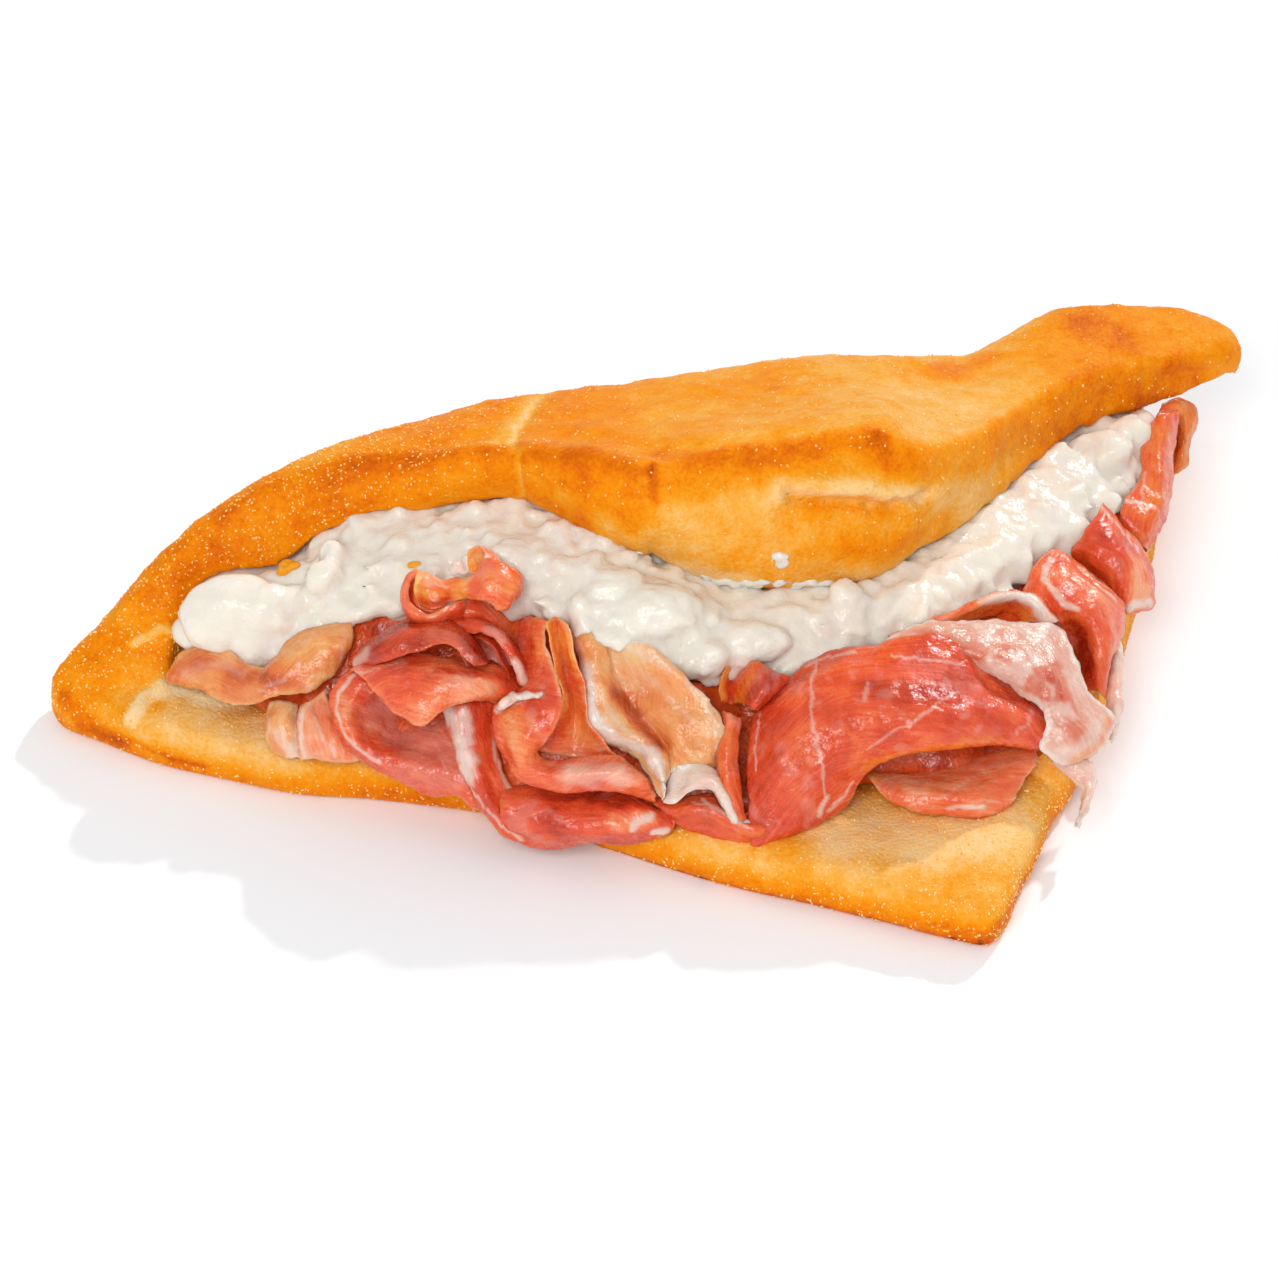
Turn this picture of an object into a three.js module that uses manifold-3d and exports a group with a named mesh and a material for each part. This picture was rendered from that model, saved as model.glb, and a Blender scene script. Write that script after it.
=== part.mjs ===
// A prosciutto flatbread sandwich, in millimetres with +Z up.
// A wedge of puffed flatbread is slit along its front and right side. Its two leaves stay joined
// at the left tip and along the back. Stringy fresh cheese fills it, and ruffled slices of cured
// ham spill out over the lower leaf. The longest side runs along X and the mouth faces -Y.
import * as THREE from "three";
import Module from "manifold-3d";

const wasm = await Module();
wasm.setup();

// Real sizes that drive the part
const LEAF = 13; // thickness of one leaf of bread
const SLICE = 1.1; // thickness of a slice of ham
const GAP = 0.6; // air left between touching pieces
const COLUMN_STEP = 5.2; // length of a facet along a slice
const LINE_STEP = 5; // length of a facet across a slice
const FLOOR = 14.4; // height of the filling's underside, just over the lower leaf
const LOWEST = 0.4; // height of the upper leaf's lowest point, which keeps the underside flat
const NOSE = 1.4; // length of the rounding at each end of the upper leaf
const CENTRE = [4.5, 10.5]; // middle of the sandwich's box in the drawing's own x and y

const COLOURS = { bread: "#dba254", cheese: "#f2ecdc", ham: "#d8634a", fat: "#eecfbc", tan: "#dd9c6a" };

// Guide lines of the bread, each a run of [x, y, z]
const FOOT = [
  [-142, -8, 7], [-131, -13, 8], [-119, -13, 9], [-115, -10, 13], [-112, 2, 25], [-106, 9, 32],
  [-97, 8, 37], [-86, 8, 41], [-66, 11, 48], [-52, 11, 52], [-29, 9, 56], [-11, -3, 55], [1, -7, 52],
  [16, -10, 46], [35, -9, 44], [55, -5, 43], [66, 5, 44], [79, 19, 43], [95, 45, 40], [112, 67, 37],
  [129, 79, 34], [143, 87, 33], [151, 91, 36],
];
const RIDGE = [
  [-142, -5, 13], [-131, 0, 21], [-115, 9, 35], [-97, 16, 50], [-86, 18, 56], [-66, 16, 63],
  [-52, 13, 67], [-29, 7, 72], [-11, -2, 76], [1, -8, 78], [16, -5, 80], [34, -3, 81], [54, 2, 81],
  [64, 4, 75], [78, 20, 66], [95, 50, 56], [112, 70, 50], [129, 80, 47], [143, 88, 45], [151, 92, 42],
];
const SHOULDER = [
  [-142, -2, 12], [-131, 9, 19], [-115, 17, 33], [-97, 24, 48], [-80, 30, 55], [-54, 41, 58],
  [-30, 51, 57], [1, 60, 55], [36, 71, 53], [57, 77, 50], [79, 84, 46], [92, 93, 47], [105, 100, 49],
  [130, 102, 47], [144, 102, 44], [151, 97, 41],
];
// How far the rim's face swells forward of the straight line from foot to ridge
const SWELL = [[-142, 2], [-110, 1], [-60, 3], [-10, 4], [10, 8], [50, 9], [70, 5], [95, 3], [151, 2]];
// Height of the lowest part of the back wall, which ends before the tongue at the right
const WALL_FOOT = [[-142, 1], [100, 1], [112, 2], [121, 12], [129, 33], [140, 32], [151, 35]];
// How far the pocket is open: 0 in the solid tip, 1 where the leaves lie apart
const OPEN = [[-142, 0], [-116, 0], [-104, 1], [151, 1]];

// Outline of the lower leaf, seen from above, as [x, y] round from the left tip
const LOWER_LEAF = [
  [-141, -8], [-131, -15], [-119, -22], [-106, -27], [-82, -35], [-65, -38], [-49, -41], [-32, -46],
  [-18, -52], [13, -65], [47, -77], [70, -86], [78, -85], [85, -74], [92, -60], [97, -47], [102, -35],
  [115, 7], [123, 39], [130, 74], [126, 92], [105, 101], [79, 88], [36, 76], [1, 65], [-30, 55],
  [-67, 40], [-97, 28], [-118, 16], [-134, 4],
];
// Rounded rim of the lower leaf, as [inset, height]
const RIM = [[3.5, 0], [0.8, 2.2], [0, 6], [1.6, 10.2], [7, 13.2]];

// Guide lines of the cheese: where it shows under the rim, at its fullest, and where ham covers it
const CHEESE_FULL = [
  [-109, 2, 25], [-97, -4, 34], [-87, -6, 37], [-77, -3, 42], [-63, -4, 47], [-49, -3, 51],
  [-37, -3, 54], [-29, -10, 54], [-11, -19, 55], [1, -25, 52], [8, -27, 49], [16, -24, 46],
  [27, -19, 44], [36, -20, 43], [48, -17, 43], [60, -12, 43], [70, -6, 42], [80, 4, 42], [90, 19, 41],
  [101, 33, 38], [109, 47, 37], [118, 60, 35], [126, 70, 34],
];
const CHEESE_LOW = [
  [-109, -4, 19], [-96, -12, 29], [-87, -17, 29], [-77, -12, 35], [-63, -13, 42], [-49, -14, 45],
  [-37, -15, 46], [-29, -18, 47], [-20, -24, 48], [-11, -32, 49], [1, -34, 46], [13, -34, 39],
  [22, -29, 38], [36, -28, 37], [48, -22, 37], [60, -18, 36], [70, -13, 36], [80, -4, 36], [90, 8, 35],
  [101, 23, 33], [109, 37, 32], [118, 51, 30], [126, 63, 29],
];

// Guide lines of the folded ham behind the slices that show: at its fullest, and on the lower leaf
const HEAP_FULL = [
  [-106, -6, 18], [-96, -14, 20], [-86, -20, 23], [-77, -23, 26], [-63, -27, 28], [-49, -31, 30],
  [-34, -34, 36], [-18, -37, 37], [1, -42, 34], [22, -44, 28], [40, -42, 30], [55, -37, 32],
  [70, -36, 30], [84, -31, 27], [93, -21, 26], [101, -3, 25], [108, 14, 25], [118, 42, 25], [127, 67, 26],
];
const HEAP_BASE = [
  [-106, -8, 14], [-96, -15, 14], [-86, -24, 14], [-77, -30, 14], [-63, -37, 14], [-49, -43, 14],
  [-34, -49, 14], [-18, -52, 14], [1, -56, 14], [22, -57, 14], [40, -53, 14], [55, -45, 14],
  [70, -46, 14], [84, -42, 14], [93, -34, 14], [101, -18, 14], [108, 2, 14], [118, 35, 14], [127, 64, 14],
];

// Slices of ham. Rows of points [x, y, z] run along each slice, from one edge to the other.
const SLICES = [
  ["low_front", "ham", [[[-31, -46, 19], [-20, -52, 18], [-6, -53, 19], [4, -56, 18]],
    [[-34, -54, 15], [-20, -59, 14], [-6, -61, 16], [7, -61, 16]],
    [[-30, -58, 7], [-21, -59, 4], [-8, -61, 7], [4, -62, 11]]]],
  ["front_strand", "fat", [[[-47, -38, 30], [-45, -45, 24], [-41, -52, 19], [-35, -57, 9]],
    [[-36, -38, 31], [-35, -45, 25], [-34, -51, 18], [-32, -55, 11]]]],
  ["ribbon_foot", "ham", [[[-25, -49, 25], [-16, -51, 26], [-5, -52, 27], [2, -55, 23]],
    [[-27, -55, 23], [-19, -57, 23], [-6, -59, 24], [0, -58, 20]]]],
  ["ribbon_lobe", "ham", [[[-34, -40, 33], [-34, -45, 29], [-32, -50, 25], [-28, -53, 24]],
    [[-22, -43, 38], [-18, -46, 36], [-22, -49, 32], [-25, -51, 28]]]],
  ["ribbon_neck", "ham", [[[-29, -24, 45], [-27, -32, 41], [-25, -38, 38]],
    [[-23, -29, 47], [-20, -37, 42], [-17, -41, 39]]]],
  ["fat_fold", "fat", [[[8, -54, 24], [13, -53, 26], [18, -53, 25], [21, -57, 20]],
    [[9, -60, 21], [13, -59, 23], [18, -60, 23], [21, -64, 18]]]],
  ["pale_fat", "tan", [
    [[-19, -27, 47], [-15, -37, 44], [-14, -46, 37], [-10, -51, 31], [0, -54, 30], [4, -60, 23]],
    [[-8, -33, 44], [-9, -39, 37], [-8, -42, 33], [-2, -46, 29], [5, -49, 27], [7, -53, 26]],
    [[1, -31, 42], [8, -36, 40], [14, -41, 38], [17, -43, 36], [18, -48, 31], [17, -52, 29]]]],
  ["centre_band", "ham", [[[3, -54, 17], [13, -54, 20], [20, -59, 16], [26, -62, 16]],
    [[5, -60, 14], [14, -63, 14], [24, -66, 14], [28, -65, 14]]]],
  ["big_right", "ham", [
    [[27, -39, 37], [34, -33, 38], [40, -28, 39], [51, -24, 38], [67, -25, 38], [81, -28, 33],
      [92, -31, 27]],
    [[25, -54, 28], [32, -54, 30], [41, -50, 33], [55, -42, 36], [69, -40, 35], [81, -37, 31],
      [92, -36, 25]],
    [[27, -66, 15], [33, -65, 15], [41, -60, 16], [48, -53, 22], [56, -50, 28], [73, -47, 29],
      [93, -42, 23]]]],
  ["small_roll", "ham", [[[18, -41, 37], [18, -37, 40], [22, -32, 41]],
    [[21, -36, 35], [22, -32, 36], [23, -30, 38]], [[20, -45, 34], [26, -44, 37], [33, -36, 40]]]],
  ["fat_flap", "fat", [[[52, -25, 40], [69, -17, 41], [84, -13, 38], [99, -8, 33]],
    [[66, -26, 41], [80, -27, 38], [91, -26, 33], [103, -23, 28]],
    [[83, -31, 35], [92, -35, 30], [101, -34, 26], [111, -28, 19]],
    [[93, -43, 23], [97, -46, 19], [103, -44, 18], [109, -33, 16]]]],
  ["under_lip", "ham", [[[51, -46, 19], [66, -40, 21], [83, -36, 20], [92, -37, 19]],
    [[50, -49, 18], [65, -50, 18], [79, -47, 17], [92, -41, 18]],
    [[52, -54, 18], [63, -59, 17], [79, -58, 17], [90, -48, 17]]]],
  ["fat_tail", "fat", [[[98, -44, 16], [101, -50, 13], [101, -58, 10]],
    [[106, -39, 14], [105, -48, 12], [102, -59, 9]]]],
  ["right_arch", "ham", [[[61, -21, 42], [74, -14, 43], [86, -4, 41], [95, -3, 38], [100, -9, 35]],
    [[66, -14, 37], [78, -7, 38], [86, 0, 36], [92, 1, 33], [94, -5, 31]]]],
  ["right_mid", "ham", [[[90, 0, 35], [94, 10, 36], [100, 17, 35]], [[96, -2, 35], [99, 5, 35], [106, 13, 33]],
    [[101, -6, 33], [107, 1, 32], [115, 8, 26]], [[108, -9, 28], [111, -4, 27], [116, 7, 23]],
    [[109, -16, 22], [112, -9, 21], [115, 1, 19]]]],
  ["back_strip", "fat", [[[110, -4, 19], [110, -18, 16], [107, -28, 15]],
    [[115, 4, 17], [114, -11, 12], [109, -26, 14]]]],
  ["right_fold", "ham", [[[112, 36, 36], [117, 32, 32], [122, 28, 27]],
    [[106, 25, 35], [113, 17, 32], [124, 20, 23]], [[103, 21, 32], [111, 11, 28], [123, 15, 18]]]],
  ["right_back", "ham", [[[126, 69, 34], [123, 55, 35], [122, 43, 33], [117, 34, 34]],
    [[133, 73, 31], [132, 62, 26], [129, 50, 22], [123, 34, 26]]]],
  ["right_curl", "ham", [[[127, 72, 33], [129, 77, 33], [135, 80, 31], [139, 78, 27], [138, 71, 22]],
    [[127, 76, 28], [130, 80, 27], [134, 84, 26], [137, 80, 24], [136, 74, 20]]]],
  ["flap_left", "ham", [[[-69, -29, 35], [-57, -28, 39], [-41, -33, 41], [-28, -37, 36]],
    [[-63, -39, 33], [-51, -46, 32], [-44, -42, 35], [-33, -39, 35]]]],
  ["hollow_left", "ham", [[[-72, -29, 29], [-64, -27, 33], [-53, -28, 33], [-41, -34, 30]],
    [[-73, -35, 26], [-61, -35, 22], [-50, -38, 22], [-40, -42, 24]],
    [[-69, -41, 18], [-61, -45, 16], [-50, -50, 16], [-42, -53, 15]]]],
  ["fan_mid", "ham", [[[-81, -31, 20], [-79, -29, 25], [-73, -28, 26]],
    [[-81, -37, 15], [-76, -39, 15], [-70, -40, 15]]]],
  ["fan_back", "fat", [[[-90, -26, 19], [-86, -26, 22], [-82, -28, 20]],
    [[-89, -31, 15], [-85, -35, 14], [-82, -35, 14]]]],
  ["fold_low", "ham", [[[-69, -23, 34], [-58, -21, 41], [-46, -24, 44], [-39, -28, 43], [-35, -34, 40]],
    [[-65, -28, 37], [-57, -29, 41], [-48, -30, 44], [-43, -33, 43], [-39, -36, 40]]]],
  ["fold_high", "ham", [[[-52, -19, 45], [-39, -21, 48], [-31, -27, 46], [-25, -35, 39]],
    [[-48, -24, 47], [-37, -27, 47], [-32, -32, 45], [-29, -38, 38]]]],
  ["curl_rim", "ham", [
    [[-43, -18, 50], [-50, -22, 48], [-56, -17, 48], [-56, -9, 50], [-50, -9, 51], [-45, -14, 51]],
    [[-43, -13, 45], [-48, -15, 42], [-53, -11, 43], [-53, -6, 45], [-50, -5, 46], [-46, -9, 45]]]],
  ["curl_flap", "ham", [[[-42, -8, 54], [-40, -3, 56], [-36, -7, 57], [-29, -14, 55]],
    [[-43, -17, 53], [-39, -20, 53], [-36, -23, 52], [-33, -25, 50]]]],
  ["left_twist", "tan", [[[-115, -9, 15], [-108, -6, 24], [-97, -13, 28], [-91, -20, 28], [-82, -13, 35],
    [-69, -14, 38]], [[-113, -12, 15], [-109, -14, 16], [-98, -22, 18], [-91, -27, 23], [-80, -28, 27],
    [-70, -23, 33]]]],
];

const vec = (p) => new THREE.Vector3(...p);

// Value of a guide at x, as a smooth curve through its points
function along(guide, x) {
  const last = guide.length - 1;
  const k = Math.max(0, guide.findLastIndex((p, i) => i < last && p[0] <= x));
  const [a, b] = [guide[k], guide[k + 1]];
  const t = Math.min(Math.max((x - a[0]) / (b[0] - a[0]), 0), 1);
  const slope = (i, c) => {
    const [p, q] = [guide[Math.max(i - 1, 0)], guide[Math.min(i + 1, last)]];
    return (q[c] - p[c]) / (q[0] - p[0]);
  };
  const width = b[0] - a[0];
  return a.slice(1).map((value, i) => {
    const c = i + 1;
    const h = t * t * (3 - 2 * t);
    const ease = t * (1 - t) * width * ((1 - t) * slope(k, c) - t * slope(k + 1, c));
    return value * (1 - h) + b[c] * h + ease;
  });
}

// Even wobble from three slow waves, between about -1 and 1
function wobble(x, y, z) {
  return (Math.sin(0.31 * x + 1.3 * z) + Math.sin(0.43 * y - 0.27 * x + 2) + Math.sin(0.37 * z + 0.5 * y)) / 3;
}

function geometry(points, faces) {
  const made = new THREE.BufferGeometry();
  made.setAttribute("position", new THREE.Float32BufferAttribute(points.flatMap((p) => p.toArray()), 3));
  made.setIndex(faces.flat());
  return made;
}

function solid(made) {
  const body = new wasm.Mesh({
    numProp: 3,
    vertProperties: new Float32Array(made.attributes.position.array),
    triVerts: new Uint32Array(made.index.array),
  });
  return new wasm.Manifold(body);
}

// Closed skin over rings of equal length, with a fan over each end
function loft(rings) {
  const n = rings[0].length;
  const points = rings.flat();
  const faces = [];
  for (let i = 0; i + 1 < rings.length; i++)
    for (let j = 0; j < n; j++) {
      const [a, b] = [i * n + j, i * n + ((j + 1) % n)];
      faces.push([a, b, a + n], [b, b + n, a + n]);
    }
  for (const [ring, start] of [[rings[0], 0], [rings.at(-1), points.length - n]]) {
    const middle = ring.reduce((sum, p) => sum.add(p), new THREE.Vector3()).divideScalar(n);
    const hub = points.push(middle) - 1;
    for (let j = 0; j < n; j++) {
      const [a, b] = [start + j, start + ((j + 1) % n)];
      faces.push(start ? [hub, a, b] : [hub, b, a]);
    }
  }
  return faceOutwards(geometry(points, faces));
}

// Turns every face round where the skin came out with its inside showing
function faceOutwards(made) {
  if (solid(made).volume() > 0) return made;
  const index = made.index.array;
  for (let i = 0; i < index.length; i += 3) [index[i], index[i + 1]] = [index[i + 1], index[i]];
  return made;
}

// Stations along x, closer together towards the ends
function stations(from, to, count) {
  return Array.from({ length: count }, (_, i) => {
    const t = i / (count - 1);
    return from + (to - from) * (0.75 * t + 0.25 * (0.5 - 0.5 * Math.cos(Math.PI * t)));
  });
}

// Smooth closed section through a few corners in the plane at x
function section(x, corners, count) {
  const curve = new THREE.CatmullRomCurve3(corners.map(([y, z]) => vec([x, y, z])), true, "centripetal");
  return Array.from({ length: count }, (_, i) => curve.getPoint(i / count))
    .map((p) => p.setZ(Math.max(p.z, LOWEST)));
}

// Smaller copy of a ring beyond it, which rounds the end off
function nose(ring, beyond) {
  const middle = ring.reduce((sum, p) => sum.add(p), new THREE.Vector3()).divideScalar(ring.length);
  return ring.map((p) => p.clone().lerp(middle, 0.45).add(vec([beyond, 0, 0])));
}

// Upper leaf with the hinge wall behind it: out over the rim and the top, down the back, then
// back inside along the wall and the leaf's underside
function upperLeaf() {
  const rings = stations(-142, 151, 38).map((x) => {
    const [foot, ridge, shoulder] = [along(FOOT, x), along(RIDGE, x), along(SHOULDER, x)];
    const [swell] = along(SWELL, x);
    const [wall] = along(WALL_FOOT, x);
    const [open] = along(OPEN, x);
    const mix = (a, b, t) => [a[0] + (b[0] - a[0]) * t, a[1] + (b[1] - a[1]) * t];
    const inside = (hollow, t) => mix([foot[0] + (shoulder[0] - foot[0]) * t, 1], hollow, open);
    const low = mix(foot, ridge, 0.33);
    const high = mix(foot, ridge, 0.72);
    const top = mix(ridge, shoulder, 0.5);
    const depth = shoulder[1] - wall;
    const under = Math.max(shoulder[1] - LEAF, wall + 1);
    const thick = Math.min(LEAF, 0.8 * (shoulder[0] - foot[0]));
    return section(x, [
      foot,
      [low[0] - swell * 0.8, low[1]],
      [high[0] - swell * 0.75, high[1]],
      ridge,
      [top[0], top[1] + 1.5],
      shoulder,
      [shoulder[0] + 5, wall + depth * 0.55],
      [shoulder[0] + 3, wall],
      inside([shoulder[0] - thick * 0.7, wall + 0.5], 0.9),
      inside([shoulder[0] - thick * 0.7, wall + 0.6 * (under - wall)], 0.75),
      inside([shoulder[0] - thick * 0.8, under], 0.55),
      inside([top[0], top[1] - LEAF], 0.35),
      inside([foot[0] + 0.7 * thick, foot[1] + 2], 0.15),
    ], 24);
  });
  return loft([nose(rings[0], -NOSE), ...rings, nose(rings.at(-1), NOSE)]);
}

// Outline moved inwards by an amount, along the bisector at each point
function inset(outline, amount) {
  return outline.map((p, i) => {
    const before = outline.at(i - 1);
    const after = outline[(i + 1) % outline.length];
    const way = new THREE.Vector2(after.x - before.x, after.y - before.y).normalize();
    return new THREE.Vector3(p.x - way.y * amount, p.y + way.x * amount, 0);
  });
}

function lowerLeaf() {
  const curve = new THREE.CatmullRomCurve3(LOWER_LEAF.map(([x, y]) => vec([x, y, 0])), true, "centripetal");
  const outline = curve.getSpacedPoints(56).slice(0, -1);
  const rings = RIM.map(([depth, height]) =>
    inset(outline, depth).map((p) => p.setZ(height ? height + 0.6 * wobble(p.x, p.y, height) : 0)));
  return loft(rings);
}

function breadSolid() {
  return solid(upperLeaf()).add(solid(lowerLeaf()));
}

// Lumps of curd that stand out of the cheese where it shows
function curds() {
  const golden = Math.PI * (3 - Math.sqrt(5));
  return Array.from({ length: 15 }, (_, i) => {
    const x = -102 + 15.2 * i + 3 * Math.sin(5 * i);
    const [fullY, fullZ] = along(CHEESE_FULL, x);
    const drop = 0.45 + 0.5 * Math.sin(i * golden);
    const [lowY, lowZ] = along(CHEESE_LOW, x);
    const size = 5.5 + 1.5 * Math.cos(i * golden);
    const lump = new THREE.IcosahedronGeometry(size, 1);
    lump.deleteAttribute("normal");
    lump.deleteAttribute("uv");
    lump.scale(1.7, 1, 0.8).rotateY(i * golden);
    lump.translate(x, fullY + (lowY - fullY) * drop + 2.6, fullZ + (lowZ - fullZ) * drop - 2.6);
    return lump;
  });
}

// Ball with its doubled points merged by hand, as its triangles share none
function joined(made) {
  const seen = new Map();
  const points = [];
  const place = made.attributes.position;
  const index = Array.from({ length: place.count }, (_, i) => {
    const p = new THREE.Vector3().fromBufferAttribute(place, i);
    const key = p.toArray().map((v) => v.toFixed(3)).join();
    if (!seen.has(key)) seen.set(key, points.push(p) - 1);
    return seen.get(key);
  });
  return geometry(points, index);
}

function cheeseSolid(bread) {
  const rings = stations(-108, 126, 34).map((x) => {
    const [foot, shoulder] = [along(FOOT, x), along(SHOULDER, x)];
    const [full, low, base] = [along(CHEESE_FULL, x), along(CHEESE_LOW, x), along(HEAP_BASE, x)];
    const wall = shoulder[0] - LEAF - 1.5;
    const roof = 0.5 * (along(RIDGE, x)[1] + shoulder[1]) - LEAF - 2;
    const ring = section(x, [
      [wall, FLOOR], [wall, shoulder[1] - LEAF - 6], [0.5 * (foot[0] + shoulder[0]), roof],
      [foot[0] + 9, foot[1] - 1], [foot[0] - 1, foot[1] - 1.5], full, low, [low[0] + 6, low[1] - 6],
      [base[0] + 18, FLOOR],
    ], 17);
    return ring.map((p) => p.add(vec([0, -1.4 * wobble(p.x * 1.6, p.y * 1.6, p.z * 1.6), 0])));
  });
  const whole = curds().reduce((sum, lump) => sum.add(solid(joined(lump))), solid(loft(rings)));
  return clearOf(whole, [bread]);
}

// Folded ham between the cheese and the slices in front, with shallow folds down its face
function heapSolid(neighbours) {
  const rings = stations(-106, 127, 36).map((x) => {
    const [low, full, base] = [along(CHEESE_LOW, x), along(HEAP_FULL, x), along(HEAP_BASE, x)];
    const fold = 1.6 * Math.sin(x / 4.6);
    return section(x, [
      [base[0], FLOOR], [base[0] - 0.5, 17], [full[0] - fold, full[1]], [low[0] - 2.5, low[1] - 3],
      [low[0], low[1] - 8], [base[0] + 9, FLOOR],
    ], 12);
  });
  return clearOf(solid(loft(rings)), neighbours);
}

// Solid pushed outwards by an amount along the mean normal of each corner
function grown(body, amount) {
  const mesh = body.getMesh();
  const n = mesh.numProp;
  const points = Array.from({ length: mesh.numVert }, (_, i) => vec(mesh.vertProperties.slice(i * n, i * n + 3)));
  const made = geometry(points, Array.from(mesh.triVerts));
  made.computeVertexNormals();
  const normal = made.attributes.normal;
  const moved = points.map((p, i) =>
    p.clone().addScaledVector(new THREE.Vector3().fromBufferAttribute(normal, i), amount));
  return solid(geometry(moved, Array.from(mesh.triVerts)));
}

// What is left of a solid when its neighbours, and the air round them, are cut away
function clearOf(body, neighbours) {
  const reach = box(body);
  const left = neighbours
    .filter((other) => box(other).intersectsBox(reach))
    .reduce((rest, other) => rest.subtract(grown(other, GAP)), body);
  return largest(left);
}

function box(body) {
  const { min, max } = body.boundingBox();
  return new THREE.Box3(vec(min), vec(max));
}

function largest(body) {
  return body.decompose().sort((a, b) => b.volume() - a.volume())[0];
}

// Points of a smooth run through a few places
function run(places, count) {
  const curve = new THREE.CatmullRomCurve3(places, false, "centripetal");
  return Array.from({ length: count }, (_, i) => curve.getPoint(i / (count - 1)));
}

// A slice: a thin wavy sheet through its rows, both faces split alike
function slice(rows, phase) {
  const longest = Math.max(...rows.map((row) => new THREE.CatmullRomCurve3(row.map(vec)).getLength()));
  const across = rows.map((row) => vec(row[1])).reduce((sum, p, i, all) =>
    (i ? sum + p.distanceTo(all[i - 1]) : 0), 0);
  const columns = Math.max(6, Math.round(longest / COLUMN_STEP));
  const lines = Math.max(4, Math.round(across / LINE_STEP) + 1);
  const strips = rows.map((row) => run(row.map(vec), columns));
  const grid = strips[0].map((_, j) => run(strips.map((strip) => strip[j]), lines));
  const at = (j, i) => grid[Math.min(Math.max(j, 0), columns - 1)][Math.min(Math.max(i, 0), lines - 1)];
  const faces = [];
  const [front, back] = [[], []];
  for (let j = 0; j < columns; j++)
    for (let i = 0; i < lines; i++) {
      const along = at(j + 1, i).clone().sub(at(j - 1, i));
      const cross = at(j, i + 1).clone().sub(at(j, i - 1));
      const out = along.cross(cross).normalize();
      const middle = at(j, i).clone();
      const bow = Math.sin((Math.PI * i) / (lines - 1)) * (rows.length < 3 ? 1.8 : 0.3);
      const ripple = 0.45 * Math.sin(1.15 * j + phase) * Math.cos(0.9 * i + 0.5 * phase);
      middle.addScaledVector(out, (out.y > 0 ? -1 : 1) * (bow + ripple));
      front.push(middle.clone().addScaledVector(out, SLICE / 2));
      back.push(middle.clone().addScaledVector(out, -SLICE / 2));
    }
  const n = columns * lines;
  const cell = (j, i) => j * lines + i;
  for (let j = 0; j + 1 < columns; j++)
    for (let i = 0; i + 1 < lines; i++) {
      const [a, b, c, d] = [cell(j, i), cell(j + 1, i), cell(j + 1, i + 1), cell(j, i + 1)];
      faces.push([a, b, c], [a, c, d], [c + n, b + n, a + n], [d + n, c + n, a + n]);
    }
  const edge = [];
  for (let j = 0; j < columns; j++) edge.push(cell(j, 0));
  for (let i = 1; i < lines; i++) edge.push(cell(columns - 1, i));
  for (let j = columns - 2; j >= 0; j--) edge.push(cell(j, lines - 1));
  for (let i = lines - 2; i > 0; i--) edge.push(cell(0, i));
  edge.forEach((a, k) => {
    const b = edge[(k + 1) % edge.length];
    faces.push([b, a, a + n], [b, a + n, b + n]);
  });
  return faceOutwards(geometry([...front, ...back], faces));
}

function addPiece(group, name, body, colour, roughness) {
  const mesh = body.getMesh();
  const n = mesh.numProp;
  const points = Array.from({ length: mesh.numVert }, (_, i) => vec(mesh.vertProperties.slice(i * n, i * n + 3)));
  const material = new THREE.MeshStandardMaterial({ color: COLOURS[colour], roughness, metalness: 0 });
  const piece = new THREE.Mesh(geometry(points, Array.from(mesh.triVerts)), material);
  piece.name = name;
  group.add(piece);
}

function sandwich() {
  const group = new THREE.Group();
  group.name = "prosciutto_flatbread_sandwich";
  const bread = breadSolid();
  const cheese = cheeseSolid(bread);
  addPiece(group, "bread", bread, "bread", 0.7);
  addPiece(group, "cheese", cheese, "cheese", 0.3);
  const placed = [bread, cheese];
  placed.push(heapSolid(placed));
  addPiece(group, "ham_heap", placed.at(-1), "ham", 0.4);
  SLICES.forEach(([name, colour, rows], i) => {
    placed.push(clearOf(solid(slice(rows, 1.7 * i)), placed));
    addPiece(group, `ham_${name}`, placed.at(-1), colour, 0.4);
  });
  group.position.set(-CENTRE[0], -CENTRE[1], 0);
  return group;
}

export default sandwich();
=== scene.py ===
# %% [markdown]
# A prosciutto flatbread sandwich: a wedge of puffed flatbread, slit open along its front and its
# right side, with stringy fresh cheese inside and ruffled slices of cured ham spilling out.
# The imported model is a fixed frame. Each piece made below is laid over one of its nodes.

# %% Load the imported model
import math

import bpy
import numpy as np
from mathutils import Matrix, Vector, noise


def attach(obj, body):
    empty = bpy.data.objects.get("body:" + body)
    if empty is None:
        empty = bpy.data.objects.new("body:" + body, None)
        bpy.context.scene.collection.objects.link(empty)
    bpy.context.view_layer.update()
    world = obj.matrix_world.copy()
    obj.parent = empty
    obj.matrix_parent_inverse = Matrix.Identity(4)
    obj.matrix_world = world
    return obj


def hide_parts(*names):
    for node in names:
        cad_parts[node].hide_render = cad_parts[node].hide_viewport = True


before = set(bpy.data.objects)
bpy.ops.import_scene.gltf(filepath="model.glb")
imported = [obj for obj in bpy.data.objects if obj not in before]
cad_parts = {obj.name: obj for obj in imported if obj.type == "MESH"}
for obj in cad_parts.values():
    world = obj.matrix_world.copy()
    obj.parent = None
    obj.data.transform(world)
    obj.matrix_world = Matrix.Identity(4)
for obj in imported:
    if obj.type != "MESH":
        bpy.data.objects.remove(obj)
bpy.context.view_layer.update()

# %% [markdown]
# Food is easier to think about in millimetres. Every guide below is written on one drawing in
# mm, and one function turns a point of the drawing into a place in the frame, which is in metres.

# %% Millimetres of the drawing to metres of the frame
MM = 0.001
CENTRE = np.array([4.5, 10.5, 0.0])


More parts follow.
